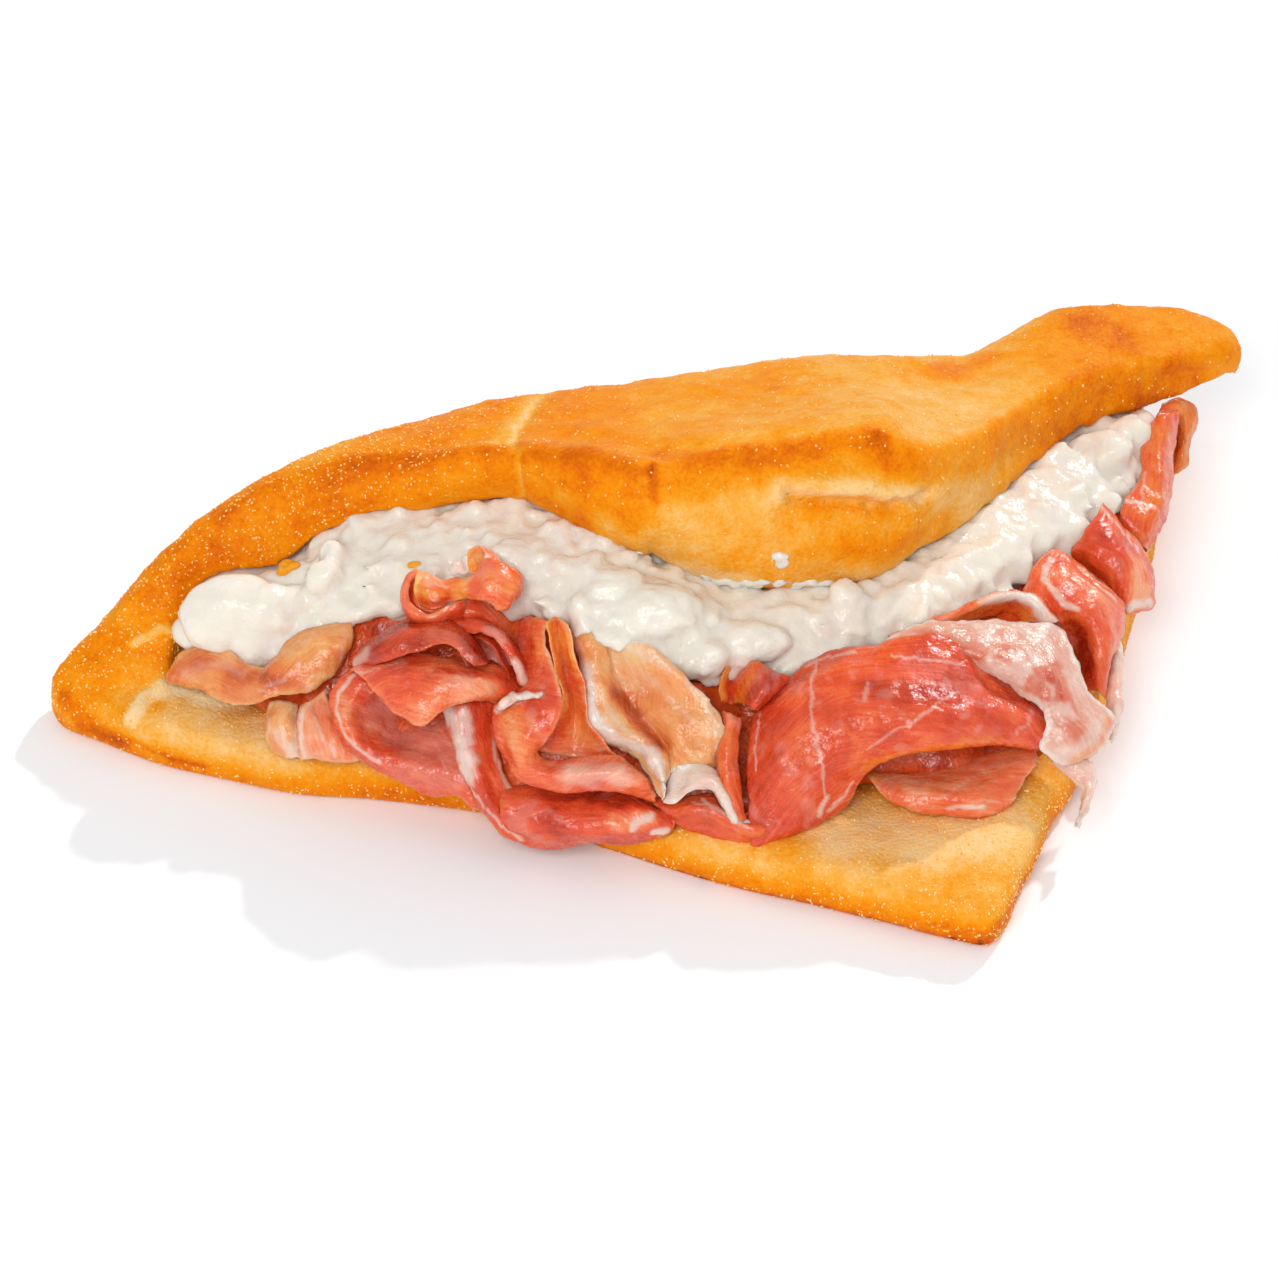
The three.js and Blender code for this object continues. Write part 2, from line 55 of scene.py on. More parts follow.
def metres(points):
    """Places in the frame of points of the drawing."""
    return (np.asarray(points, float) - CENTRE) * MM


print("the left tip lies at", metres([-142, -8, 7]).round(4))

# %% [markdown]
# The camera stands where the photographer stood: straight in front and 38 degrees up, far off
# with a long lens, so that the bread keeps its shape. The same numbers tell where the
# photograph shows a point of the drawing, which later places seams, cracks and crumbs.

# %% Camera
PHOTO = np.array([1278, 1280])
FOCAL_PX = 5000.0
VIEW_ELEVATION = math.radians(38)
VIEW_DISTANCE = 1200.0
LOOKED_AT = np.array([-1.5, -0.6, 21.5])
SENSOR = 36.0
AHEAD = np.array([0.0, math.cos(VIEW_ELEVATION), -math.sin(VIEW_ELEVATION)])
UPWARD = np.array([0.0, math.sin(VIEW_ELEVATION), math.cos(VIEW_ELEVATION)])
EYE = LOOKED_AT - AHEAD * VIEW_DISTANCE


def pixels(points):
    """Pixel of the photograph that shows each point of the drawing, and its depth in mm."""
    away = np.asarray(points, float) - EYE
    depth = away @ AHEAD
    across = PHOTO[0] / 2 + FOCAL_PX * away[:, 0] / depth
    down = PHOTO[1] / 2 - FOCAL_PX * (away @ UPWARD) / depth
    return np.stack([across, down], axis=1), depth


def unprojected(where, depth):
    """Points of the drawing that show at these pixels and lie this deep, in mm."""
    where, depth = np.asarray(where, float), np.asarray(depth, float)[..., None]
    off = (where - PHOTO / 2) * depth / FOCAL_PX
    return EYE + depth * AHEAD + off[..., :1] * [1.0, 0.0, 0.0] - off[..., 1:] * UPWARD


def in_scene(obj):
    """The object, now that the scene holds it."""
    bpy.context.scene.collection.objects.link(obj)
    return obj


def make_camera():
    """The camera that the photograph was taken with, as far as it can be fitted."""
    lens = bpy.data.cameras.new("camera")
    lens.sensor_width = SENSOR
    lens.lens = FOCAL_PX * SENSOR / max(PHOTO)
    camera = in_scene(bpy.data.objects.new("camera", lens))
    camera.location = metres(EYE)
    camera.rotation_euler = (math.pi / 2 - VIEW_ELEVATION, 0, 0)
    bpy.context.scene.camera = camera
    return camera


print("lens:", round(make_camera().data.lens, 1), "mm")

# %% [markdown]
# The sandwich lies on wide white paper. A sun behind it to the right throws the soft-edged
# shadow to the front left, and a bright sky and a wide front lamp fill that shadow almost away.
# Each lamp's strength is set so that white cheese keeps its shading. The paper glows a
# little, as a backlit table does, so that it still reaches white.

# %% Floor and light
SUN_WAY = Vector((-0.62, -1.0, -0.88))
SUN_STRENGTH = 1.5
SUN_SPREAD = math.radians(2.5)
SKY_STRENGTH = 0.58
FILL_PLACE = (-0.25, -1.1, 1.0)
FILL_SIZE = 0.6
FILL_POWER = 10.2
WHITE = (1, 1, 1, 1)
PAPER = {"Base Color": (0.915, 0.935, 0.955, 1), "Roughness": 0.9, "Specular IOR Level": 0.1,
         "Emission Color": WHITE, "Emission Strength": 0.055}
FLOOR_HALF = 4.0


def make_floor():
    """A wide sheet of white paper, which is not part of the sandwich."""
    mesh = bpy.data.meshes.new("floor")
    corners = [(x * FLOOR_HALF, y * FLOOR_HALF, 0) for x, y in ((-1, -1), (1, -1), (1, 1), (-1, 1))]
    mesh.from_pydata(corners, [], [(0, 1, 2, 3)])
    paper = bpy.data.materials.new("matt_white_paper")
    paper.use_nodes = True
    shader = paper.node_tree.nodes["Principled BSDF"]
    for name, value in PAPER.items():
        shader.inputs[name].default_value = value
    mesh.materials.append(paper)
    floor = in_scene(bpy.data.objects.new("floor", mesh))


def make_lights():
    """The sun behind, the wide lamp in front and the sky."""
    sun = in_scene(bpy.data.objects.new("sun", bpy.data.lights.new("sun", "SUN")))
    sun.data.energy = SUN_STRENGTH
    sun.data.angle = SUN_SPREAD
    sun.rotation_euler = SUN_WAY.to_track_quat("-Z", "Y").to_euler()
    fill = in_scene(bpy.data.objects.new("fill", bpy.data.lights.new("fill", "AREA")))
    fill.data.energy = FILL_POWER
    fill.data.size = FILL_SIZE
    fill.location = FILL_PLACE
    fill.rotation_euler = (-Vector(FILL_PLACE)).to_track_quat("-Z", "Y").to_euler()
    world = bpy.data.worlds.new("sky")
    world.use_nodes = True
    sky = world.node_tree.nodes["Background"]
    sky.inputs["Strength"].default_value = SKY_STRENGTH
    sky.inputs["Color"].default_value = WHITE
    bpy.context.scene.world = world
    bpy.context.scene.view_settings.view_transform = "Standard"


make_floor()
make_lights()
print("sun, fill and sky are up")

# %% [markdown]
# Dough, curd and meat have no straight lines. Their shapes are smooth curves through a few
# named points: a guide gives y and z for every x, and a smooth line passes through corners.

# %% Smooth curves


def along(guide, x):
    """Values of a guide at each x, on a smooth curve through its points."""
    points = np.array(guide, float)
    x = np.atleast_1d(np.asarray(x, float))
    last = len(points) - 1
    k = np.clip(np.searchsorted(points[:, 0], x, side="right") - 1, 0, last - 1)
    before = np.maximum(np.arange(last + 1) - 1, 0)
    after = np.minimum(np.arange(last + 1) + 1, last)
    slope = (points[after, 1:] - points[before, 1:]) / (points[after, :1] - points[before, :1])
    width = (points[k + 1, 0] - points[k, 0])[:, None]
    t = np.clip((x - points[k, 0])[:, None] / width, 0, 1)
    h = t * t * (3 - 2 * t)
    ease = t * (1 - t) * width * ((1 - t) * slope[k] - t * slope[k + 1])
    return points[k, 1:] * (1 - h) + points[k + 1, 1:] * h + ease


def smooth_line(corners, count, closed=False):
    """Points of a smooth curve through corners, for one list of corners or many at once."""
    p = np.asarray(corners, float)
    n = p.shape[-2]
    if closed:
        p = np.concatenate([p[..., -1:, :], p, p[..., :2, :]], axis=-2)
        s = np.arange(count) / count * n
    else:
        ends = 2 * p[..., [0, -1], :] - p[..., [1, -2], :]
        p = np.concatenate([ends[..., :1, :], p, ends[..., 1:, :]], axis=-2)
        s = np.arange(count) / (count - 1) * (n - 1)
    k = np.minimum(s.astype(int), n - 1 if closed else n - 2)
    t = (s - k)[:, None]
    a, b, c, d = (p[..., k + i, :] for i in range(4))
    g, h, i = (np.sqrt(np.maximum(np.linalg.norm(q - o, axis=-1, keepdims=True), 1e-6))
               for o, q in ((a, b), (b, c), (c, d)))
    out = ((b - a) / g - (c - a) / (g + h) + (c - b) / h) * h
    into = ((c - b) / h - (d - b) / (h + i) + (d - c) / i) * h
    t2, t3 = t * t, t * t * t
    return (b * (2 * t3 - 3 * t2 + 1) + out * (t3 - 2 * t2 + t)
            + c * (3 * t2 - 2 * t3) + into * (t3 - t2))


def step(low, high, values):
    """0 below low and 1 above high, with a smooth rise between."""
    t = np.clip((values - low) / (high - low), 0, 1)
    return t * t * (3 - 2 * t)


print("a guide halfway between two points:", along([[0, 1], [10, 3], [20, 2]], 5).round(3))

# %% [markdown]
# Every piece here is a mesh made from arrays of points. These helpers build one, read its skin
# back, move it, and melt overlapping shells into a single skin with a voxel remesh, which is
# how dough and curd join: without a seam.

# %% Meshes from arrays


def mesh_object(name, points, faces):
    """Object of this name at the origin, with its place in its mesh."""
    mesh = bpy.data.meshes.new(name)
    mesh.from_pydata(metres(points).tolist(), [], [list(map(int, face)) for face in faces])
    mesh.shade_smooth()
    return in_scene(bpy.data.objects.new(name, mesh))


def grid_faces(rows, columns, around):
    """Four-sided faces over a grid of points, which may close on itself round its columns."""
    i, j = np.meshgrid(np.arange(rows - 1), np.arange(columns if around else columns - 1),
                       indexing="ij")
    a = (i * columns + j).ravel()
    b = (i * columns + (j + 1) % columns).ravel()
    return np.stack([a, b, b + columns, a + columns], axis=1)


def loft(rings):
    """Closed skin over rings of points, with a fan over each end."""
    count, around = rings.shape[:2]
    points = np.concatenate([rings.reshape(-1, 3), rings[[0, -1]].mean(axis=1)])
    faces = [list(face) for face in grid_faces(count, around, True)]
    for ring, hub in ((0, count * around), (count - 1, count * around + 1)):
        for j in range(around):
            a, b = ring * around + j, ring * around + (j + 1) % around
            faces.append([hub, b, a] if ring == 0 else [hub, a, b])
    return points, faces


def joined(shells):
    """One list of points and one of faces from several shells."""
    points, faces, start = [], [], 0
    for own_points, own_faces in shells:
        points.append(own_points)
        faces.extend([[v + start for v in face] for face in own_faces])
        start += len(own_points)
    return np.concatenate(points), faces


def applied(obj):
    """The object with what its modifiers make as its own mesh, and no modifier left."""
    made = bpy.data.meshes.new_from_object(obj.evaluated_get(bpy.context.evaluated_depsgraph_get()))
    obj.modifiers.clear()
    obj.data = made
    return obj


def melted(obj, voxel):
    """The object's shells as one skin of faces about a voxel wide, in mm."""
    remesh = obj.modifiers.new("Melt", "REMESH")
    remesh.mode = "VOXEL"
    remesh.voxel_size = voxel * MM
    applied(obj)
    obj.data.shade_smooth()
    return obj


def skin(obj):
    """Points in mm of the drawing, outward normals and edges of a mesh."""
    mesh = obj.data
    points, normals = np.empty((len(mesh.vertices), 3)), np.empty((len(mesh.vertices), 3))
    edges = np.empty((len(mesh.edges), 2), int)
    mesh.vertices.foreach_get("co", points.ravel())
    mesh.vertex_normals.foreach_get("vector", normals.ravel())
    mesh.edges.foreach_get("vertices", edges.ravel())
    return points / MM + CENTRE, normals, edges


def reshape(obj, points):
    """Moves the points of a mesh to these, in mm of the drawing."""
    obj.data.vertices.foreach_set("co", metres(points).ravel())
    obj.data.update()


def relaxed(values, edges, rounds):
    """Values at the points, each replaced by its neighbours' mean a number of times."""
    values = values.reshape(len(values), -1)
    a, b = edges.T
    near = np.maximum(np.bincount(edges.ravel(), minlength=len(values)), 1)
    for _ in range(rounds):
        columns = [np.bincount(a, v[b], len(values)) + np.bincount(b, v[a], len(values))
                   for v in values.T]
        values = np.stack(columns, axis=1) / near[:, None]
    return values


def paint(obj, name, values):
    """Stores one number or three per point, for a material to read."""
    values = np.asarray(values, np.float32)
    kind, field = ("FLOAT", "value") if values.ndim == 1 else ("FLOAT_VECTOR", "vector")
    obj.data.attributes.new(name, kind, "POINT").data.foreach_set(field, values.ravel())


def dress(obj, material):
    """Gives the whole piece one material."""
    obj.data.materials.clear()
    obj.data.materials.append(material)


# A cloud's place for each seed, how much weaker each octave is, and how much finer
SEED_WAY = (7.3, 3.1, -5.7)
WEAKER = 0.8
FINER = 2.1


def clouds(points, size, octaves=2, seed=0):
    """Soft noise between about -1 and 1 at each point, with lumps of this size in mm."""
    shift = Vector([way * seed for way in SEED_WAY])
    return np.array([noise.fractal(Vector(p) + shift, WEAKER, FINER, octaves)
                     for p in (np.asarray(points) / size).tolist()])


def layers(points, table, octaves, seed):
    """Sum of clouds of several sizes, each given as the width of its lumps and its height."""
    return sum(height * clouds(points, size, octaves, seed + i)
               for i, (size, height) in enumerate(table))


print("helpers ready, a cloud at one point:", clouds([[1.0, 2.0, 3.0]], 4).round(3))

# %% [markdown]
# A crack, a seam or a dark corner is placed by a few pixels of the photograph. The line of
# pixels is laid on the skin that faces the camera, and from there on it is a line in space:
# points of the mesh near it are pressed in or coloured, from whichever side they are seen.

# %% Lines of the photograph laid on a skin
STROKE_STEP = 5.0
STROKE_REACH = 4.0
TURNED_TO_CAMERA = -0.05


def laid_on(points, normals, stroke):
    """A line of pixels as a line of points, in mm, on the skin that faces the camera."""
    where, depth = pixels(points)
    seen = np.flatnonzero(normals @ AHEAD < TURNED_TO_CAMERA)
    stroke = np.asarray(stroke, float)
    lengths = np.linalg.norm(np.diff(stroke, axis=0), axis=1)
    marks = np.concatenate([[0], np.cumsum(lengths)])
    at = np.linspace(0, marks[-1], max(2, int(marks[-1] / STROKE_STEP)))
    line = []
    for px, py in zip(np.interp(at, marks, stroke[:, 0]), np.interp(at, marks, stroke[:, 1])):
        off = np.hypot(where[seen, 0] - px, where[seen, 1] - py)
        near = off < STROKE_REACH
        pick = seen[near][depth[seen[near]].argmin()] if near.any() else seen[off.argmin()]
        line.append(points[pick])
    return np.array(line)


def distance_to(points, line):
    """Distance in mm from each point to a line of points."""
    best = np.full(len(points), 1e3)
    for a, b in zip(line[:-1], line[1:]):
        way = b - a
        t = np.clip((points - a) @ way / max(way @ way, 1e-9), 0, 1)
        best = np.minimum(best, np.linalg.norm(points - a - t[:, None] * way, axis=1))
    return best


def near_stroke(points, normals, stroke, width):
    """1 on a line of pixels, falling to 0 half a width in mm away from it."""
    return 1 - step(0.2, 1, distance_to(points, laid_on(points, normals, stroke)) / (width / 2))


def marks(points, normals, table):
    """Sum at each point of marks, each a line of pixels, a width in mm and a strength."""
    return sum((strength * near_stroke(points, normals, stroke, width)
                for stroke, width, strength in table), np.zeros(len(points)))


print("strokes are laid every", STROKE_STEP, "pixels")

# %% [markdown]
# Colours are written as they look on a screen, and one function turns them into the light
# values that a shader mixes. One more adds a node with its settings and what feeds it: a value,
# a socket, or another node, whose first output is meant.

# %% Colours and nodes


def linear(code):
    """Light values of an sRGB hex colour."""
    parts = [int(code[i:i + 2], 16) / 255 for i in (1, 3, 5)]
    return tuple(c / 12.92 if c <= 0.04045 else ((c + 0.055) / 1.055) ** 2.4 for c in parts) + (1,)


def feed(tree, node, feeds):
    """Links each input to the node or socket that drives it, or sets its value."""
    for name, value in feeds.items():
        if isinstance(value, bpy.types.Node):
            value = value.outputs[0]
        if isinstance(value, bpy.types.NodeSocket):
            tree.links.new(value, node.inputs[name])
        else:
            node.inputs[name].default_value = value


def add(tree, kind, feeds=None, **settings):
    """A node of this kind, with its settings and what feeds it."""
    node = tree.nodes.new(kind)
    for name, value in settings.items():
        setattr(node, name, value)
    feed(tree, node, feeds or {})
    return node


def set_stops(ramp, stops):
    """The colour ramp with its stops, each a place from 0 to 1 and a hex colour."""
    elements = ramp.color_ramp.elements
    while len(elements) < len(stops):
        elements.new(1)
    for element, (place, code) in zip(elements, stops):
        element.position = place
        element.color = linear(code)
    return ramp


def new_material(name):
    """Empty material, its node tree, its shader, and the place of a point on the piece."""
    material = bpy.data.materials.new(name)
    material.use_nodes = True
    tree = material.node_tree
    place = add(tree, "ShaderNodeTexCoord").outputs["Object"]
    return material, tree, tree.nodes["Principled BSDF"], place


print("white paper in light values:", [round(c, 3) for c in linear("#F4F2EE")])

# %% [markdown]
# The bread follows three guides along its length: the foot of the rim over the mouth, the ridge
# where the rim turns into the top, and the shoulder at the back. They are those of the
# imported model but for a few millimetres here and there, so the fine surface lies on the plain one.
# Smaller guides say how far the rim swells, how high the hinge wall starts and where the leaves
# part, and two outlines give the lower leaf from above and its rim in section.

# %% Guides of the bread
BREAD_SPAN = (-142, 151)
LEAF = 13.0
LOWEST = 0.4
NOSE = 1.4
FOOT = [
    [-142, -8, 7], [-131, -13, 8], [-119, -13, 9], [-115, -10, 13], [-112, 2, 25], [-106, 9, 31.5],
    [-97, 8, 35.6], [-89, 8, 36.8], [-83, 9, 40.5], [-76, 10, 46], [-66, 11, 49.5], [-52, 11, 52],
    [-29, 9, 56], [-11, -3, 55], [1, -7, 52], [16, -10, 46], [35, -9, 44], [55, -5, 43], [66, 5, 44],
    [79, 19, 43], [95, 45, 40], [112, 67, 37], [129, 79, 34], [143, 87, 33], [151, 91, 36],
]
RIDGE = [
    [-142, -5, 14], [-131, 0, 22.5], [-115, 9, 37], [-97, 16, 50], [-86, 18, 55.5], [-66, 16, 62.4],
    [-52, 13, 66.5], [-29, 7, 71.5], [-11, -2, 76], [1, -8, 78], [16, -5, 80], [34, -3, 81], [54, 2, 81],
    [64, 4, 75], [78, 20, 66], [95, 50, 56], [112, 70, 50], [129, 80, 47], [143, 88, 45], [151, 92, 42],
]
SHOULDER = [
    [-142, -2, 13.5], [-131, 9, 21.5], [-115, 17, 35.8], [-97, 24, 49], [-80, 30, 54.4], [-54, 41, 56.8],
    [-30, 51, 56], [1, 60, 54.6], [36, 71, 53.3], [57, 77, 50.6], [79, 84, 46.5], [92, 93, 47],
    [105, 100, 49.6], [130, 102, 48.5], [144, 102, 46], [151, 97, 42],
]
SWELL = [[-142, 2], [-110, 1], [-60, 3], [-10, 4], [10, 8], [50, 9], [70, 5], [95, 3], [151, 2]]
WALL_FOOT = [[-142, 1], [100, 1], [112, 2], [121, 12], [129, 33], [140, 32], [151, 35]]
OPEN = [[-142, 0], [-116, 0], [-104, 1], [151, 1]]
LOWER_LEAF = [
    [-142, -8], [-132, -15], [-119, -23], [-106, -28], [-82, -35.5], [-65, -37.3], [-49, -40],
    [-32, -44.5], [-18, -51], [13, -66.4], [47, -78.6], [70, -87.6], [79, -89.5], [83.5, -83],
    [86, -75], [91, -61], [96, -47], [102, -35], [115, 7], [123, 39], [130, 74], [126, 92], [105, 101],
    [79, 88], [36, 76], [1, 65], [-30, 55], [-67, 40], [-97, 28], [-118, 16], [-134, 4],
]
RIM = [[3.0, 0], [0.6, 2], [0, 6], [1.3, 11], [3.6, 12.8], [8, 13.3]]
print("the rim rises to", max(p[2] for p in RIDGE), "mm")

# %% [markdown]
# Each leaf could be pulled from a sculpted block, but a loft keeps the guides readable. The upper
# leaf has a closed section at many places along x, the lower one a ring at each height of its
# rim, and skin is stretched over them. The ridge gets a corner just before and behind it, which
# makes the crisp edge that a puffed rim has.

# %% The two leaves
STATIONS = 240
AROUND = 132
CRISP = [[-142, 0.4], [-100, 1.0], [0, 1.2], [60, 1.4], [80, 0.4], [110, 0], [151, 0]]
RIM_ROWS = 26
OUTLINE_POINTS = 420
REACH = 6
LEAF_WAVES = [(22, 0.5)]
BREAD_VOXEL = 1.25
EVEN_SHARE, EASED_SHARE = 0.75, 0.25


def spread(low, high, count):
    """Places from low to high, closer together towards the ends."""
    t = np.linspace(0, 1, count)
    eased = 0.5 - 0.5 * np.cos(math.pi * t)
    return low + (high - low) * (EVEN_SHARE * t + EASED_SHARE * eased)


def mix(a, b, t):
    """From a at t 0 to b at t 1."""
    return a + (b - a) * t


def sections(x, corners, count):
    """Closed rings at each x, smooth through corners that each hold all y and all z."""
    pairs = np.stack([np.stack(corner, axis=1) for corner in corners], axis=1)
    ring = smooth_line(pairs, count, closed=True)
    return np.concatenate([np.broadcast_to(x[:, None, None], ring.shape[:2] + (1,)), ring], 2)


def upper_leaf():
    """Upper leaf with the hinge wall behind it, as a closed skin."""
    x = spread(*BREAD_SPAN, STATIONS)
    foot, ridge, shoulder = along(FOOT, x), along(RIDGE, x), along(SHOULDER, x)
    swell, wall, opened, crisp = (along(guide, x)[:, 0] for guide in (SWELL, WALL_FOOT, OPEN, CRISP))
    (foot_y, foot_z), (ridge_y, ridge_z), (back_y, back_z) = foot.T, ridge.T, shoulder.T
    (low_y, low_z), (high_y, high_z) = mix(foot, ridge, 0.33).T, mix(foot, ridge, 0.72).T
    top_y, top_z = mix(ridge, shoulder, 0.5).T
    under = np.maximum(back_z - LEAF, wall + 1)
    thick = np.minimum(LEAF, 0.8 * (back_y - foot_y))

    def inside(y, z, t):
        """A corner of the hollow, which sinks to the floor where the leaves are one."""
        return mix(foot_y + (back_y - foot_y) * t, y, opened), mix(1.0, z, opened)

    rings = sections(x, [
        (foot_y, foot_z),
        (low_y - 0.8 * swell, low_z),
        (high_y - 0.75 * swell, high_z),
        (ridge_y - 1.2 - 0.5 * crisp, ridge_z - 2.2),
        (ridge_y + 0.1 * crisp, ridge_z + 0.4 * crisp),
        (ridge_y + 3.5, ridge_z + 0.25),
        (top_y, top_z + 1.5),
        (back_y, back_z),
        (back_y + 5, wall + 0.55 * (back_z - wall)),
        (back_y + 3, wall),
        inside(back_y - 0.7 * thick, wall + 0.5, 0.9),
        inside(back_y - 0.7 * thick, wall + 0.6 * (under - wall), 0.75),
        inside(back_y - 0.8 * thick, under, 0.55),
        inside(top_y, top_z - LEAF, 0.35),
        inside(foot_y + 0.7 * thick, foot_z + 2, 0.15),
    ], AROUND)
    rings[..., 2] = np.maximum(rings[..., 2], LOWEST)
    ends = [mix(ring, ring.mean(axis=0), 0.45) + [way * NOSE, 0, 0]
            for ring, way in ((rings[0], -1), (rings[-1], 1))]
    return loft(np.concatenate([ends[0][None], rings, ends[1][None]]))


def lower_leaf():
    """Lower leaf: a flat slab with a rounded rim."""
    outline = smooth_line(LOWER_LEAF, OUTLINE_POINTS, closed=True)
    way = np.roll(outline, -REACH, axis=0) - np.roll(outline, REACH, axis=0)
    way /= np.linalg.norm(way, axis=1, keepdims=True)
    inwards = np.stack([-way[:, 1], way[:, 0]], axis=1)
    rings = []
    for depth, height in smooth_line(RIM, RIM_ROWS):
        flat = outline + inwards * depth
        uneven = layers(np.column_stack([flat, np.full(len(flat), height)]), LEAF_WAVES, 2, 0)
        rings.append(np.column_stack([flat, max(height, 0) + (height != 0) * uneven]))
    rings = np.array(rings)
    rings[..., 2] = np.maximum(rings[..., 2], 0)
    return loft(rings)


bread = melted(mesh_object("flatbread", *joined([upper_leaf(), lower_leaf()])), BREAD_VOXEL)
print("bread skin:", len(bread.data.vertices), "points")

# %% [markdown]
# Baking leaves its marks in the dough: a pale crack where the top split, a stepped dark corner on
# the ridge, a lip under the bulge, and torn flakes where the knife went in. Each is a line of
# pixels laid on the skin, with a width and a rise in mm, and the points near it move by that.

# %% Relief of the bread
CRACK = [(541, 392), (532, 404), (518, 424), (512, 440), (516, 458), (519, 480), (522, 500)]
RIDGE_CORNER = [(653, 466), (655, 482), (655, 502)]
LIP = [(792, 497), (814, 503), (856, 505), (890, 511), (906, 506), (930, 497)]
UNDER_LIP = [(800, 520), (850, 522), (900, 524)]
LEFT_FLAKE = [(134, 641), (148, 633), (170, 631), (184, 638), (191, 646)]
LEFT_TEAR = [(128, 716), (138, 703), (150, 692), (166, 684), (185, 688), (205, 697), (240, 700)]
TOP_FURROW = [(424, 443), (470, 432), (540, 428), (600, 436), (655, 446), (720, 445), (800, 436)]
BACK_BLISTER = [(876, 360), (905, 356), (925, 362)]
NECK_FURROW = [(893, 440), (935, 425), (985, 405), (1040, 390)]
DENT = [(1000, 470), (1040, 445), (1085, 425)]
LIP_TOP = [(780, 488), (815, 492), (858, 494), (892, 500), (915, 498)]
PUFF_CREASE = [(655, 470), (665, 500), (662, 530), (650, 556)]
TONGUE_RIDGE = [(1000, 425), (1050, 392), (1100, 366), (1160, 352), (1225, 345)]
TONGUE_FURROW = [(1120, 352), (1150, 372), (1180, 382), (1210, 380)]
BACK_RIDGE = [(690, 384), (720, 388), (760, 392), (800, 384)]
GROOVES = [(CRACK, 3.6, -1.0), (LIP, 5.5, -3.4), (LEFT_FLAKE, 3.4, 1.0), (LEFT_TEAR, 4.0, 1.3),
           (TOP_FURROW, 15, -1.1), (BACK_BLISTER, 9, 1.0), (NECK_FURROW, 14, -1.2), (DENT, 10, -0.9),
           (UNDER_LIP, 14, -1.7), (LIP_TOP, 8, 1.0), (PUFF_CREASE, 5, -0.6), (TONGUE_RIDGE, 12, 1.1),
           (TONGUE_FURROW, 7, -1.0), (BACK_RIDGE, 6, 0.6)]
UNEVEN = [(30, 1.0), (11, 0.5), (4.2, 0.32)]
SMOOTHING = 2
TIP = (132, 145)
TIP_SMOOTHING = 30
CORNER_STEP = 1.3
CORNER_LINE = [[40, 1.5], [60, 0.2], [80, -1.5]]


def knead(obj):
    """Presses the marks into the dough and makes its skin uneven."""
    points, normals, edges = skin(obj)
    tip = step(*TIP, points[:, :1])
    points = mix(relaxed(points, edges, SMOOTHING), relaxed(points, edges, TIP_SMOOTHING), tip)
    free = step(0.6, 4, points[:, 2])[:, None]
    lift = layers(points, UNEVEN, 2, 0) + marks(points, normals, GROOVES)
    x, y, z = points.T
    foot, ridge = along(FOOT, x), along(RIDGE, x)
    face = step(4, -1, y - ridge[:, 0]) * step(-3, 3, z - foot[:, 1])
    corner_x = along(CORNER_LINE, z)[:, 0]
    lift = lift + CORNER_STEP * face * step(0.7, -0.7, x - corner_x) * step(-60, -6, x)
    reshape(obj, points + normals * lift[:, None] * free)


knead(bread)
print("bread box in mm:", skin(bread)[0].min(axis=0).round(1), skin(bread)[0].max(axis=0).round(1))

# %% [markdown]
# How brown the crust is goes with how near the oven's heat it stood: the rim's face is deep
# golden, the top is paler, the bulge is pale where it puffed last, and the tongue has dark
# spots. One number per point holds that, from 0 for pale dough to 1 for burnt, together with
# painted shade under the lip, on the bulge and at the left foot, and painted light where the ham
# shades the lower leaf. Marks add to it or take from it: each is a line of pixels, a width in mm
# and a change.

# %% How brown each point is, with painted shade and light
BAKE_AND_SHADE_MARKS = [
    ([(1085, 322), (1105, 330), (1120, 338)], 16, 0.1), ([(935, 372), (960, 362), (990, 352)], 14, 0.16),
    ([(1172, 372), (1196, 376)], 10, 0.1), ([(1140, 396), (1165, 404), (1200, 402)], 10, 0.1),
    (RIDGE_CORNER, 3.6, 0.2), ([(522, 455), (580, 462), (652, 468)], 6, 0.08),
    ([(660, 452), (713, 455), (792, 447), (876, 433)], 10, 0.12), ([(880, 440), (895, 466)], 8, 0.1),
    ([(216, 511), (286, 476), (367, 462), (424, 455), (510, 455)], 10, 0.08),
    # The thin dark lines along the bottom edge darken it where the bread meets the floor; the one from
    # (128, 742) is painted shade there.
    ([(128, 742), (160, 756), (200, 768)], 3.2, 0.2), ([(570, 846), (630, 868), (700, 890)], 3.2, 0.3),
    ([(700, 892), (800, 915), (900, 935), (975, 948)], 4.8, 0.16),
    ([(60, 700), (80, 722), (120, 742)], 8, 0.2), ([(985, 945), (1010, 915), (1040, 860)], 6, 0.14),
    # The lip line, the band from (815, 512) and the band from (850, 552) are painted shade: in the lip's
    # crease, under the lip and on the bulge's lower side.
    (LIP, 2.4, 0.06), ([(815, 512), (860, 516), (930, 512)], 8, 0.1),
    ([(300, 770), (360, 785), (420, 790)], 16, 0.06), ([(850, 552), (905, 548), (945, 528)], 16, 0.16),
    ([(560, 500), (600, 520), (640, 540)], 10, -0.1),
    (CRACK, 2.8, -0.2), (LEFT_FLAKE, 4.4, -0.3), (LEFT_TEAR, 6.8, -0.42), (LIP_TOP, 10, -0.2),
    ([(541, 392), (530, 405), (517, 424), (500, 440)], 10, -0.18),
    ([(600, 530), (660, 570), (740, 585)], 12, -0.2), ([(300, 466), (340, 446), (400, 436)], 14, -0.08),
    # The wide pale marks from (150, 700) and (850, 830) are painted light on the lower leaf where the ham
    # shades it.
    ([(540, 485), (580, 492), (630, 500)], 18, -0.06), ([(150, 700), (210, 725), (280, 745)], 30, -0.14),
    ([(850, 830), (930, 840), (1010, 820)], 34, -0.22),
]
BAKE_CLOUDS = [(30, 0.10), (9, 0.06), (2.2, 0.05)]
